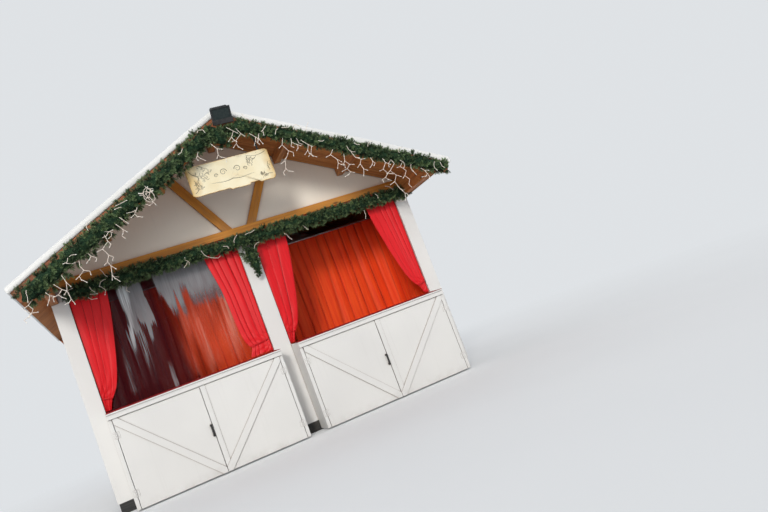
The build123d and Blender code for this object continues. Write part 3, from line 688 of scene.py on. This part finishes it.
def tied_curtain(name, node, post_x, direction, seed, folds):
    """Cloth that hangs in folds from the opening's top and is drawn to a tie at the post."""
    rng = np.random.default_rng(seed)
    corners = node_points(node)
    reach = (corners[:, 0] - post_x) * direction
    free_edge = (reach > 0.02) & (reach < 0.45)
    order = np.argsort(corners[free_edge, 2])
    outline = corners[free_edge, 2][order], reach[free_edge][order]
    low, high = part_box(node)
    middle = (low.y + high.y) / 2
    z = np.linspace(high.z, low.z, 110)[:, None]
    share = np.linspace(0, 1, folds * 30 + 1)
    width = np.interp(z, *outline)
    near_tie = bell((z - TIE_HEIGHT) / 0.10)
    drawn = clamp((high.z - z) / (high.z - TIE_HEIGHT))
    inner = np.sin(math.pi * share)
    noise = waves(rng, share, z)
    warp = share + 0.085 * noise(4, 6.0) * inner
    phase = folds * warp + 0.24 * noise(6, 3.0, 3.4) * inner
    lean = np.mod(phase, 1) ** 1.35
    strong = 0.70 + 0.55 * noise(6, 7.0, 2.6)
    broad = 0.75 * strong * fold_profile(lean, 0.30) - 0.80 * (lean - 0.5)
    fine = noise(7, 14.0, 3.0)
    away_x, away_z = width * share + 0.02, z - TIE_HEIGHT
    fan = 17 * np.arctan2(away_z, away_x) + 2 * noise(4, 3.0, 3.0)
    pull = np.sin(fan) * np.exp(-np.hypot(away_x, away_z) / 0.22)
    depth = 0.0120 * (1 - 0.30 * near_tie) * (0.75 + 0.25 * noise(4, 4.0, 2.0))
    y = middle - depth * broad - 0.0012 * (1 + drawn) * fine - 0.0045 * pull
    post_gap = 0.003
    overlap = 0.11 * width / folds * np.cos(TURN * phase) * (0.4 + 0.6 * drawn)
    inset = np.minimum(1, np.minimum(share, 1 - share) * folds * 1.5)
    x = post_x + direction * (post_gap + (width - post_gap) * share + overlap * inset)
    droop = 0.035 * share ** 2 * bell((z - TIE_HEIGHT - 0.12) / 0.22) * clamp((z - low.z - 0.02) / 0.2)
    heave = 0.006 * noise(5, 9.0, 9.0) * clamp((high.z - z) / 0.05)
    # Painted shade: crease marks the fold hollows, which the cloth material darkens.
    crease = clamp(0.15 - 1.15 * fold_profile(lean, 0.32)) * clamp(strong)
    piece = add_cloth(name, x, y, z - droop + clamp(heave), "red_cloth", crease=crease)
    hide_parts(node)
    curtain_tie(name.replace("curtain", "tie"), post_x, direction, float(np.interp(TIE_HEIGHT, *outline)), middle)


def curtain_tie(name, post_x, direction, width, middle):
    """Slim band of the same cloth round a curtain, drawn up to the post."""
    angle = circle(48)
    band, slack = 0.011, 0.004
    across = direction * (width / 2 + slack)
    x = post_x + direction * slack + across + across * np.cos(angle) * 0.99
    y = middle + (0.0215 + 0.0015 * np.sin(7 * angle)) * np.sin(angle)
    z = TIE_HEIGHT + 0.022 * (1 - np.abs(x - post_x) / (abs(across) * 2))
    offset, swell = np.array([(0.5, -0.001), (0.25, 0.0008), (-0.25, 0.0008), (-0.5, -0.001)]).T[..., None]
    points = stacked(x + swell * np.cos(angle) * direction, y + swell * np.sin(angle), z + offset * band)
    # An even small share of the crease's painted shade over the whole band.
    piece = add_piece(name, points, grid_faces(4, len(angle), closed=True), "red_cloth",
                      crease=np.full(len(points), 0.25))


def front_curtains():
    """Four tied curtains, one beside each post of the two bays."""
    for number, (bay, place, post_x, direction, folds, cut) in enumerate((
            ("left", "outer", -opening_outer, 1, 4, 0.36), ("left", "inner", -opening_inner, -1, 5, 0.42),
            ("right", "inner", opening_inner, 1, 3, 0.30), ("right", "outer", opening_outer, -1, 5, 0.37))):
        tied_curtain(f"{bay}_bay_{place}_curtain", f"{bay}_bay_curtains", post_x, direction, 31 + number, folds)


def back_curtain():
    """Pleated cloth on rings across the room and forward along both sides."""
    rng = np.random.default_rng(51)
    low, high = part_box("back_curtain")
    x, y, radius = high.x - ROUTE_INSET, high.y - ROUTE_INSET, 0.09
    right = [(x, low.y + 0.002)] + [(x - radius + radius * math.cos(a), y - radius + radius * math.sin(a))
                                    for a in np.linspace(0, QUARTER, 9)]
    route = [(-px, py) for px, py in right] + right[::-1]
    total = lengths_along(route)[-1]
    pleats = round(total / 0.112)
    z = np.linspace(high.z, low.z, 46)[:, None]
    share = np.linspace(0, 1, pleats * 16 + 1)
    fall = (high.z - z) / (high.z - low.z)
    noise = waves(rng, share, fall)
    drift, uneven = noise(10, 45.0, 2.2), noise(6, 70.0)
    phase = pleats * share + 0.42 * uneven + 0.42 * drift * (0.35 + 0.65 * fall)
    strong = 0.75 + 0.55 * noise(8, 90.0, 1.6)
    crest = strong * fold_profile(phase, 0.62)
    depth = 0.021 * (0.72 + 0.38 * noise(7, 75.0, 1.0))
    stance = clamp(depth * crest + 0.003 * noise(7, 90.0, 5.0), -0.0285, 0.0285)
    run = clamp(share * total + 0.013 * np.cos(TURN * phase) * clamp(fall * 4, 0.3), 0, total)
    ahead = unit(at_lengths(route, run + 0.01) - at_lengths(route, run - 0.01))
    x, y = np.moveaxis(at_lengths(route, run), -1, 0)
    # Painted shade in the pleat hollows, through the crease attribute.
    piece = add_cloth("back_drape", x + ahead[..., 1] * stance, y - ahead[..., 0] * stance, z, "back_cloth",
                      crease=clamp(-crest))
    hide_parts("back_curtain")


def rail_rings():
    """Small steel rings that carry the back curtain on its three rods."""
    low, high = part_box("back_rail")
    z, rear = (low.z + high.z) / 2 - 0.002, high.y - (high.z - low.z) / 2
    side_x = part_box("back_curtain")[1].x - ROUTE_INSET
    end_gap, rear_radius, side_radius, wire = 0.12, 0.0155, 0.0135, 0.0015
    rings = [(x, rear, 0, rear_radius) for x in np.linspace(low.x + end_gap, high.x - end_gap, 33)]
    rings += [(x, y, side_radius, 0) for x in (-side_x, side_x)
              for y in np.linspace(low.y + 0.10, rear - end_gap, 8)]
    across, up = (turn(np.linspace(0, TURN, 15)) for turn in (np.cos, np.sin))
    parts = [tube(stacked(x + wide * across, y + deep * across, z + (wide + deep) * up), wire, 5)
             for x, y, wide, deep in rings]
    add_piece("back_rail_rings", *joined(parts), "steel")


def film_sheet():
    """Clear sheet with long slanting wrinkles, fixed behind the posts."""
    rng = np.random.default_rng(61)
    low, high = film_box
    z = np.linspace(high.z, low.z, 80)[:, None]
    x = np.linspace(low.x, high.x, 340)
    fall = (high.z - z) / (high.z - low.z)
    noise = waves(rng, x + 0.07 * np.exp(-9 * fall) + 0.07 * fall, z)
    wide, fine = noise(7, 14.0, 1.1), noise(9, 52.0, 2.2)
    pinch = clamp(np.minimum(fall, 1 - fall) / 0.12) * clamp((high.x - x) / 0.06) * clamp((x - low.x) / 0.06)
    y = low.y + 0.001 + pinch * (0.020 + 0.012 * wide + 0.0045 * fine)
    # crest marks the wrinkle crests, where the film's material paints a reflection.
    piece = add_cloth("film_sheet", x, y, z, "clear_film", crest=clamp(wide + 0.5 * fine) * pinch)
    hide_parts("clear_film")


def shelf_felt(side, name):
    """Red cloth on a counter's shelf, trimmed at the front edge of the board."""
    low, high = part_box("counter_shelves")
    corners = node_points("counter_shelves")
    nose_top = corners[corners[:, 1] < low.y + 1e-4, 2].max()
    x_low, x_high = (low.x, -opening_inner) if side < 0 else (opening_inner, high.x)
    x = np.linspace(x_low + 0.004, x_high - 0.004, 60)
    thick = 0.003
    slope = (high.z - nose_top) / (high.y - low.y)
    profile = [(y, nose_top + (y - low.y) * slope + thick) for y in np.linspace(high.y - 0.002, low.y + 0.006, 14)]
    profile += [(low.y + 0.001, nose_top + thick), (low.y - 0.001, nose_top + thick - 0.001),
                (low.y - 0.0015, nose_top - 0.001)]
    y, z = np.array(profile).T[..., None]
    ripple = waves(np.random.default_rng(71 + side), x, y)(8, 9.0, 20.0)
    piece = add_cloth(name + "_shelf_felt", x, y, z + 0.0012 * (1 + ripple), "shelf_felt")


# Garlands and lights

GOLDEN_SHARE, GOLDEN_ANGLE = 0.618034, 2.39996
LEFT_RADIUS, RIGHT_RADIUS, BEAM_RADIUS = 0.128, 0.104, 0.100
NEEDLE_HALF_WIDTH = 0.0017
STEM_RADII = (0.0017, 0.0013, 0.0009)
WALL_GAP = 0.002
WIRE_RADIUS = 0.0026
BULB_STATIONS, BULB_RADII = (0, 0.006, 0.013), (0.0030, 0.0042, 0.0016)


def along_path(path, share):
    """Points and directions at shares of a path's length."""
    run = share * lengths_along(path)[-1]
    return at_lengths(path, run), unit(at_lengths(path, run + 0.02) - at_lengths(path, run - 0.02))


def garland(name, node, path, radii, seed, wall, tufts_per_metre=74, twigs=7, needles=34):
    """Fir garland along a path: tufts of short twigs set with needles, round a rough core."""
    rng = np.random.default_rng(seed)
    length = lengths_along(path)[-1]
    count = int(length * tufts_per_metre)
    each = (count, twigs, needles, 1)
    number = np.arange(count)
    share = (number + rng.uniform(0, 1, count)) / count
    centre, axis = along_path(path, share)
    outward = np.array([0, -1.0, 0])
    around = math.pi * 0.80 * (2 * ((number * GOLDEN_SHARE) % 1) - 1) + rng.normal(0, 0.15, count)
    spread = np.cos(around)[:, None] * outward + np.sin(around)[:, None] * unit(np.cross(axis, outward))
    lump = 1 + 0.17 * waves(rng, share * length, around)(6, 22.0, 0.7)
    radius = (np.interp(share, (0, 1), radii) * rng.uniform(0.86, 1.08, count) * lump)[:, None]
    twig_length, needle_length = np.minimum(0.052, radius * 0.48), np.minimum(0.030, radius * 0.30)
    root = centre + spread * (radius - twig_length - needle_length * 0.65)
    aim = unit(spread[:, None] + rng.normal(0, 0.46, (count, twigs, 3)) + (0, 0, -0.05))[:, :, None]
    twig_length = (twig_length * rng.uniform(0.75, 1.15, (count, twigs)))[..., None, None]
    t = (0.12 + 0.88 * (np.arange(needles) + 0.5) / needles)[:, None]
    foot = root[:, None, None] + aim * twig_length * t
    guide = unit(np.cross(aim, (0.3, 0.2, 0.93)))
    turn = np.arange(needles)[:, None] * GOLDEN_ANGLE + rng.uniform(0, 6.3, (count, twigs, 1, 1))
    tilt = np.radians(62 - 36 * t) + rng.normal(0, 0.14, each)
    ring = np.cos(turn) * guide + np.sin(turn) * np.cross(aim, guide)
    needle = np.cos(tilt) * aim + np.sin(tilt) * ring
    size = needle_length[..., None, None] * (1 - 0.25 * t) * rng.uniform(0.85, 1.15, each)
    half = unit(np.cross(needle, aim + 0.4 * ring)) * NEEDLE_HALF_WIDTH * rng.uniform(0.8, 1.2, each)
    belly = foot + needle * size * 0.45
    blades = np.stack([foot, belly + half, foot + needle * size, belly - half], 3).reshape(-1, 3)
    # Tone: random per tuft, twig and needle, darker towards the roots of the needles and twigs as painted shade,
    # lighter at the tips as painted highlight.
    light = rng.uniform(-0.05, 0.45, (count, 1, 1, 1)) + rng.uniform(-0.1, 0.1, (count, twigs, 1, 1))
    light = light + 0.22 * rng.uniform(-1, 1, each)
    tone = clamp(light + (-0.05, 0.10, 0.38, 0.10) + 0.35 * (t - 0.5)).ravel()
    steps = np.linspace(0, 1, max(6, int(length / 0.02)))
    line = along_path(path, steps)[0]
    line[:, 1:] += 0.007 * stacked(np.sin(steps * length * 55), np.cos(steps * length * 43))
    taper = np.minimum(1, np.minimum(steps, 1 - steps) * length / 0.07 + 0.15)
    thick = np.maximum(0.012, np.interp(steps, (0, 1), radii) * 0.50 * taper)
    core = tube(line, thick * rng.uniform(0.85, 1.1, len(steps)), 9)
    for points in (blades, core[0]):
        points[:, 1] = np.minimum(points[:, 1], wall - WALL_GAP)
    stems = [tube(stem, STEM_RADII, 3)
             for stem in foot[:, :, [0, needles // 2, needles - 4]].reshape(-1, 3, 3)]
    points, faces = joined([(blades, np.arange(len(blades)).reshape(-1, 4).tolist()), core] + stems)
    # The core takes tone 0, the darkest: painted shade inside the garland.
    tone = np.concatenate([tone, np.zeros(len(points) - len(tone))])
    piece = add_piece(name, points, faces, "garland_green", smooth=False, tone=tone)
    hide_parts(node)


def rake_path(side, radius):
    """Line of a rake garland's centre, from under the lamp down to the eave."""
    rng = np.random.default_rng(77 + side)
    y = barge_front - radius
    under_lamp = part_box("lamp_housing")[0].z - radius - 0.005
    path = [(0, y, under_lamp), (side * 0.09, y, under_lamp + 0.005)]
    for along in np.linspace(0.22, board_length - (0.02 if side < 0 else 0.05), 17):
        lower = 0.020 * bell((along - 0.40) / 0.25) if side > 0 else 0
        x, z = slope_point(side, along, -0.002 - radius - lower + rng.uniform(-0.008, 0.008))
        path.append((x, y, z))
    return path


def beam_path():
    """Line of the beam garland, with slight sags between its nails and a drooping right end."""
    low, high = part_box("beam_garland")
    y, z = (low.y + high.y) / 2, (low.z + high.z) / 2 + 0.026
    path = [(x, y, z - 0.012 * math.sin(6.3 * x) ** 2) for x in np.linspace(low.x + 0.05, high.x - 0.03, 33)]
    return path + [(high.x + 0.03, y, z - 0.025), (high.x + 0.045, y, z - 0.075)]


def garlands():
    """The garlands along both rakes, along the beam and down in front of the centre post."""
    for side, name, radius in ((-1, "left", LEFT_RADIUS), (1, "right", RIGHT_RADIUS)):
        garland(name + "_rake_garland", "rake_garlands", rake_path(side, radius), (radius, radius), 81 + side,
                barge_front)
    garland("beam_fir_garland", "beam_garland", beam_path(), (0.108, 0.104), 84, front - 0.052)
    low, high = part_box("garland_drop")
    x, y = (low.x + high.x) / 2, (low.y + high.y) / 2
    path = [(x - 0.06, y, high.z + 0.03), (x - 0.035, y, (low.z + high.z) / 2), (x - 0.03, y + 0.03, low.z + 0.03)]
    garland("drop_garland", "garland_drop", path, (0.122, 0.038), 85, front - 0.002, tufts_per_metre=90)


def way(angle, y=0.0):
    """Direction across the front at an angle from straight down, leaning by y."""
    return np.array([math.sin(angle), y, -math.cos(angle)])


def twig_paths(rng, start, length):
    """Zig-zag wire that hangs from a point, with short forked twigs."""
    main, twigs = [np.array(start)], []
    bend = rng.choice([-1, 1])
    hung = 0.0
    while hung < length:
        step = min(rng.uniform(0.044, 0.094), max(0.030, length - hung))
        lean = bend * math.radians(rng.uniform(6, 52))
        here = main[-1] + step * way(lean, rng.normal(0, 0.10))
        main.append(here)
        hung += step * math.cos(lean)
        if rng.uniform() < 0.85:
            fork = lean + bend * math.radians(rng.uniform(5, 40))
            aim = way(fork, rng.normal(0, 0.2))
            twigs.append([here, here + rng.uniform(0.026, 0.052) * aim])
            if rng.uniform() < 0.12:
                back = fork - bend * math.radians(rng.uniform(50, 95))
                twigs[-1].append(twigs[-1][-1] + rng.uniform(0.018, 0.032) * way(back, 0.1))
        if rng.uniform() < 0.8:
            bend = -bend
    return twigs + [main]


def coil_path(rng, start):
    """Bundle of kinked loops where a spare length of wire was wound up: the wire and its short twigs."""
    angle = np.linspace(0, 2.7 * TURN, 25)
    size = 0.034 + 0.014 * np.sin(angle * 0.63 + 1) + rng.normal(0, 0.006, len(angle))
    loops = stacked(size * np.cos(angle) + 0.012 * angle / 17, 0.010 * np.sin(angle * 1.7),
                    size * 1.35 * np.sin(angle) - 0.035 * angle / 17 - 0.075)
    path = np.concatenate([[start], start + loops])
    twigs = []
    for k in range(2, len(path), 3):
        aim = way(angle[k - 1] + rng.normal(0, 0.5) + QUARTER)
        twigs.append([path[k], path[k] + rng.uniform(0.016, 0.034) * aim])
    return path, twigs


def surface_bit(rng, start):
    """Short kinked wire that lies on a garland's face."""
    path = [np.array(start)]
    heading = rng.uniform(0, TURN) + QUARTER
    for _ in range(rng.integers(2, 4)):
        heading += rng.uniform(-1.2, 1.2)
        path.append(path[-1] + rng.uniform(0.022, 0.042) * way(heading, -0.05))
    return path


def string_of_lights(name, strands, bits, seed, coil_at=None):
    """Kinked white wires with small bulbs: hanging strands and bits that lie on the garland."""
    rng = np.random.default_rng(seed)
    wires, bulbs = [], []

    def lay(path, lit=True):
        wires.extend(tube([first, second], WIRE_RADIUS, 5) for first, second in zip(path[:-1], path[1:]))
        if lit:
            ahead = unit(path[-1] - path[-2])
            bulbs.append(tube(path[-1] + np.outer(BULB_STATIONS, ahead), BULB_RADII))

    for start, length in strands:
        for path in twig_paths(rng, start, length):
            lay(path)
    if coil_at:
        path, twigs = coil_path(rng, coil_at)
        lay(path, lit=False)
        for twig in twigs:
            lay(twig)
    for start in bits:
        lay(surface_bit(rng, start))
    add_piece(name + "_wires", *joined(wires), "wire_white", smooth=False)
    add_piece(name + "_bulbs", *joined(bulbs), "bulb_white")


# Where the light strings hang from the rakes: place across the front and hanging length
LEFT_STRANDS = ((-2.14, 0.13), (-2.06, 0.17), (-1.95, 0.11), (-1.87, 0.19), (-1.79, 0.31), (-1.62, 0.23),
                (-1.54, 0.08), (-1.36, 0.46), (-1.24, 0.16), (-1.02, 0.14), (-0.34, 0.09), (-0.20, 0.21),
                (-0.01, 0.19))
RIGHT_STRANDS = ((0.09, 0.20), (0.20, 0.12), (0.29, 0.07), (0.50, 0.35), (0.57, 0.16), (0.66, 0.18),
                 (0.75, 0.12), (0.95, 0.20), (1.05, 0.25), (1.13, 0.27), (1.31, 0.08), (1.43, 0.27),
                 (1.51, 0.44), (1.62, 0.30), (1.71, 0.09), (1.80, 0.13))


def lights():
    """Strings of lights on the garlands along both rakes and the beam."""
    rng = np.random.default_rng(91)

    def face_places(path, ends, count, turns, radius):
        """Places drawn at random on a garland's front."""
        centre = along_path(path, rng.uniform(*ends, count))[0]
        around = rng.uniform(*turns, count)
        return centre + radius * stacked(0, -np.cos(around), np.sin(around))

    for side, name, strands, radius, lower in ((-1, "left", LEFT_STRANDS, LEFT_RADIUS, 0.075),
                                               (1, "right", RIGHT_STRANDS, RIGHT_RADIUS, 0.050)):
        face = barge_front - 1.75 * radius
        hung = [((x, face + rng.uniform(-0.02, 0.03), soffit_apex - abs(x) * TAN - rng.uniform(0.14, 0.19) - lower),
                 max(0.045, length - lower)) for x, length in strands]
        bits = face_places(rake_path(side, radius), (0.06, 0.97), 17, (-1.25, 0.55), radius)
        coil = (-0.90, face, soffit_apex - 0.90 * TAN - 0.13) if side < 0 else None
        string_of_lights(name + "_rake_lights", hung, bits, 92 + side, coil)
    bits = face_places(beam_path(), (0.0, 1.0), 26, (-1.5, 0.4), BEAM_RADIUS)
    string_of_lights("beam_lights", [], bits, 95)


# Sign and lamp

def sign_outline(low, high, rng):
    """Outline of a worn parchment shape: rounded corners, slightly wavy edges, two low tabs at the foot."""
    radius, points = 0.035, []
    for x, z, turn in ((high.x, low.z, -90), (high.x, high.z, 0), (low.x, high.z, 90), (low.x, low.z, 180)):
        x -= math.copysign(radius, x - (low.x + high.x) / 2)
        z -= math.copysign(radius, z - (low.z + high.z) / 2)
        points += [(x + radius * math.cos(angle), z + radius * math.sin(angle))
                   for angle in np.radians(np.linspace(turn, turn + 90, 7))]
    loop = points + points[:1]
    steps = np.linspace(0, lengths_along(loop)[-1], 240, endpoint=False)
    outline = at_lengths(loop, steps)
    inward = unit(np.array([(low.x + high.x) / 2, (low.z + high.z) / 2]) - outline)
    wave = sum(np.sin(steps * wave + rng.uniform(0, 6)) * size
               for wave, size in ((9, 0.0014), (23, 0.0012), (61, 0.0009), (140, 0.0005)))
    outline = outline + inward * (0.003 + wave)[:, None]
    share = (outline[:, 0] - low.x) / (high.x - low.x)
    tabs = np.interp(share, (0.43, 0.44, 0.67, 0.68, 0.79, 0.80), (0, 1, 1, 0, 0, 1))
    outline[:, 1] += (0.013 - 0.016 * tabs) * clamp((low.z + 0.06 - outline[:, 1]) / 0.05)
    return outline


def sign():
    low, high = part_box("sign_board")
    outline = sign_outline(low, high, np.random.default_rng(101))
    centre = outline.mean(0)
    rings, rims = [], []
    for shrink, y, rim in ((1.0, high.y, 1.0), (1.0, low.y + 0.003, 1.0), (0.994, low.y, 0.95), (0.97, low.y, 0.6),
                           (0.93, low.y, 0.25), (0.85, low.y, 0.0), (0.5, low.y, 0.0), (0.2, low.y, 0.0)):
        x, z = (centre + (outline - centre) * shrink).T
        rings.append(stacked(x, y, z))
        rims += [rim] * len(outline)
    points, faces = loft(rings)
    ends = np.abs(points[:, 0] - centre[0]) / ((high.x - low.x) / 2)
    piece = add_piece("parchment_sign", points, faces, "sign_cream", smooth=False, rim=rims, ends=ends)
    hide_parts("sign_board")
    sign_ornament(low, high)


def flat_strip(path, widths):
    """Thin line in the plane of the sign."""
    ahead = unit(np.gradient(path, axis=0))
    across = np.stack([-ahead[:, 1], ahead[:, 0]], -1) * np.asarray(widths)[:, None] / 2
    return np.concatenate([path - across, path + across]), grid_faces(2, len(path))


def vine_drawing(start, angle, length, rng, parts, level=0):
    """Generic curling vine that forks and carries small leaves, drawn with thin strips."""
    steps = np.linspace(0, 1, 11)
    headings = angle + rng.choice([-1, 1]) * rng.uniform(0.7, 1.7) * steps ** 1.5
    moves = length / 10 * np.stack([np.cos(headings), np.sin(headings)], -1)
    path = np.cumsum([start, *moves[1:]], axis=0)
    parts.append(flat_strip(path, 0.0054 * 0.72 ** level * (1 - 0.65 * steps)))
    for index in (3, 5, 7, 9):
        heading = headings[index] + rng.choice([-1, 1]) * rng.uniform(0.6, 1.1)
        if level < 2:
            vine_drawing(path[index], heading, length * 0.42, rng, parts, level + 1)
        else:
            leaf = np.outer((0, 0.5, 1), (0.008 * math.cos(heading), 0.008 * math.sin(heading)))
            parts.append(flat_strip(path[index] + leaf, (0.0008, 0.0040, 0.0004)))


def scroll_lines(x, z):
    """Mirrored scroll with curled ends over a long tapering line."""
    parts = []
    turn = np.linspace(0, 1, 46)
    for side in (-1, 1):
        for size, rise, offset in ((0.034, 0.030, 0.072), (0.020, 0.012, 0.150)):
            angle = math.pi * (1 - 2.9 * turn)
            reach = size * (1 - 0.80 * turn)
            path = stacked(x + side * (offset + reach * np.cos(angle)), z + rise + reach * np.sin(angle))
            parts.append(flat_strip(path, 0.0068 * (1 - 0.75 * turn)))
        sweep = stacked(x + side * 0.225 * turn, z - 0.055 - 0.020 * np.sin(math.pi * turn) * (1 - turn))
        parts.append(flat_strip(sweep, 0.0074 * (1 - 0.85 * turn)))
    return parts


def sign_ornament(low, high):
    """Vine ornament in the sign's corners and a plain scroll in its middle."""
    rng = np.random.default_rng(111)
    margin, parts = 0.012, []
    for x, z, angle, length in (
            (high.x - 0.03, high.z - 0.03, 200, 0.21), (high.x - 0.025, high.z - 0.06, 245, 0.17),
            (high.x - 0.03, low.z + 0.05, 160, 0.12), (low.x + 0.03, high.z - 0.04, -65, 0.19),
            (low.x + 0.04, high.z - 0.03, -20, 0.16), (low.x + 0.03, low.z + 0.05, 25, 0.12)):
        vine_drawing((x, z), math.radians(angle), length, rng, parts)
    parts += scroll_lines((low.x + high.x) / 2, (low.z + high.z) / 2)
    foot, head = (np.array([end.x, end.z]) for end in (low, high))
    points, faces = joined([part for part in parts if ((foot + margin < part[0]) & (part[0] < head - margin)).all()])
    add_piece("sign_ornament", stacked(points[:, 0], low.y - 0.0006, points[:, 1]), faces, "sign_ink", smooth=False)


def lamp_details():
    """Glass pane in a raised rim at the lamp's mouth, cooling ribs on its top and back, a terminal box."""
    low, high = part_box("lamp_housing")
    half_width, half_height, depth = (high.x - low.x) / 2, 0.075, 0.115
    tilt = math.radians(25)
    pivot = Matrix.Translation((0, cover_front - 0.050, soffit_apex - 0.040))
    turn = pivot @ Matrix.Rotation(tilt, 4, "X")

    def placed(points, faces):
        return [tuple(turn @ Vector(point)) for point in points], faces

    def frame_at(y, half_x, bottom, top):
        return [(-half_x, y, bottom), (half_x, y, bottom), (half_x, y, top), (-half_x, y, top)]

    def mouth(inset, out):
        half_z = half_height - inset
        return frame_at(-depth - out, half_width - inset, -half_z, half_z)

    rim = [mouth(*place) for place in ((-0.002, -0.006), (-0.003, 0.006), (0.002, 0.009), (0.011, 0.009),
                                       (0.014, 0.001))]
    bezel = placed(sum(rim, []), grid_faces(len(rim), 4, closed=True))
    add_piece("lamp_bezel", *bezel, "lamp_grey", smooth=False)
    add_piece("lamp_pane", *placed(mouth(0.013, 0.002), [[0, 1, 2, 3]]), "lamp_glass", smooth=False)
    box = loft([frame_at(-depth - out, half_width + 0.006 - inset, -half_height - 0.008 + inset,
                         -half_height + 0.040 - inset) for inset, out in ((0, -0.015), (0, 0.014), (0.004, 0.018))])
    add_piece("lamp_terminal_box", *placed(*box), "black_plastic", smooth=False)
    outline = [(y, half_height + rise) for y, rise in (
        (-depth + 0.012, -0.004), (-0.035, -0.004), (-0.010, -0.030), (-0.010, -0.016), (-0.032, 0.008),
        (-depth + 0.016, 0.008))]
    ribs = [loft([[(x + dx, y, z) for y, z in outline] for dx in (-0.002, 0.002)])
            for x in np.linspace(-0.072, 0.072, 9)]
    add_piece("lamp_ribs", *placed(*joined(ribs)), "lamp_grey", smooth=False)


# Fasteners

def hinge_screws():
    """Two low domed screws in each leaf of each counter hinge, painted over."""
    low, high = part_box("counter_hinges")
    plate_y, radius, angle = low.y + 0.010, 0.0036, circle(12)
    from_pin, from_end, apart = 0.021, 0.031, 0.020
    profile = ((1.0, 0.0), (0.92, 0.0012), (0.55, 0.0019), (0.28, 0.0019), (0.16, 0.0008))
    head = np.array([stacked(radius * share * np.cos(angle), -rise, radius * share * np.sin(angle))
                     for share, rise in profile])
    for joint in frame["joints"]:
        pin_x = joint["pos_m"][0]
        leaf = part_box(joint["child"])
        inward = 1 if (leaf[0].x + leaf[1].x) / 2 > pin_x else -1
        for way_x, body, kind in ((inward, joint["child"], "leaf"), (-inward, HUT, "frame")):
            heads = [loft(head + (pin_x + way_x * from_pin, plate_y, z + dz), foot=False)
                     for z in (low.z + from_end, high.z - from_end) for dz in (-apart, apart)]
            add_piece(f"{joint['name']}_{kind}_screws", *joined(heads), "white_paint", body=body)


# Studio

def studio():
    """Plain pale floor that fades into the backdrop, soft light from the front left."""
    backdrop, strength = (0.90, 0.93, 0.96), 0.82
    scene = bpy.context.scene
    scene.view_settings.view_transform = "Standard"
    scene.world = bpy.data.worlds.new("studio")
    scene.world.use_nodes = True
    w = Nodes(scene.world.node_tree)
    ambient = w.nodes["Background"]
    w.put(ambient, {"Color": (0.94, 0.965, 1.0), "Strength": 0.60})
    seen = w.add("Background", {"Color": backdrop, "Strength": strength})
    rays = w.add("LightPath").outputs
    direct = w.most(*(rays[f"Is {kind} Ray"] for kind in ("Camera", "Transmission", "Glossy")))
    mix = w.add("MixShader", {0: direct, 1: ambient.outputs[0], 2: seen.outputs[0]})
    w.put(w.nodes["World Output"], {0: mix.outputs[0]})

    for name, energy, spread, tint, direction in (("key_light", 1.60, 12, (1.0, 0.96, 0.90), (0.46, 1.0, -0.36)),
                                                  ("fill_light", 0.95, 50, (1.0, 0.98, 0.95), (0.30, 1.0, 0.12))):
        lamp = link(name, bpy.data.lights.new(name, "SUN"))
        lamp.data.energy = energy
        lamp.data.angle = math.radians(spread)
        lamp.data.color = tint
        lamp.rotation_mode = "QUATERNION"
        lamp.rotation_quaternion = Vector(direction).to_track_quat("-Z", "Y")

    m = Material("studio_floor", Roughness=0.9, Specular_IOR_Level=0.1)
    away = m.add("VectorMath", {0: m.place()}, operation="LENGTH").outputs["Value"]
    seen_by_camera = m.add("LightPath").outputs["Is Camera Ray"]
    m.base(m.span(m.noise(0.6, 3), 0.3, 0.7), (0.80, 0.81, 0.82), (0.78, 0.79, 0.80))
    m.tint = m.mix(seen_by_camera, (0.38, 0.38, 0.38), m.tint)
    data = m.finish(Emission_Color=backdrop, Emission_Strength=m.times(seen_by_camera, 0.12))
    glow = m.add("Emission", {"Color": backdrop, "Strength": strength})
    blend = m.add("MixShader", {0: m.span(away, 3.2, 10), 1: m.shader.outputs[0], 2: glow.outputs[0]})
    m.put(m.nodes["Material Output"], {0: blend.outputs[0]})
    radius, rings, sides = 60, 24, 96
    reach = radius * (np.arange(rings + 1)[:, None] / rings) ** 2
    points = stacked(reach * np.cos(circle(sides)), reach * np.sin(circle(sides)), -0.0005)[sides - 1:]
    faces = [[0, 1 + k, 1 + (k + 1) % sides] for k in range(sides)]
    faces += (grid_faces(rings, sides, closed=True) + 1).tolist()
    mesh = bpy.data.meshes.new("studio_floor")
    mesh.from_pydata(points.tolist(), [], faces)
    mesh.materials.append(data)
    link("studio_floor", mesh)


def camera():
    """Camera of the photograph: low, to the left, turned and rolled."""
    heading, climb, roll = (math.radians(angle) for angle in (21.93, 4.92, -20.93))
    ahead = Vector((math.sin(heading) * math.cos(climb), math.cos(heading) * math.cos(climb), math.sin(climb)))
    right = Vector((math.cos(heading), -math.sin(heading), 0))
    up = right.cross(ahead)
    image_right = math.cos(roll) * right + math.sin(roll) * up
    image_up = math.cos(roll) * up - math.sin(roll) * right
    turn = Matrix((image_right, image_up, -ahead))
    eye = link("camera", bpy.data.cameras.new("camera"))
    eye.data.lens, eye.data.sensor_width, eye.data.clip_end = 33.22, 36, 300
    eye.matrix_world = Matrix.Translation((-1.574, -9.048, 0.833)) @ turn.transposed().to_4x4()
    bpy.context.scene.camera = eye


dress_nodes()
roof_boards(-1, "soffit_left")
roof_boards(1, "soffit_right")
roof_cover()
floor_boards()
front_curtains()
back_curtain()
rail_rings()
film_sheet()
shelf_felt(-1, "left")
shelf_felt(1, "right")
garlands()
lights()
sign()
lamp_details()
hinge_screws()
studio()
camera()
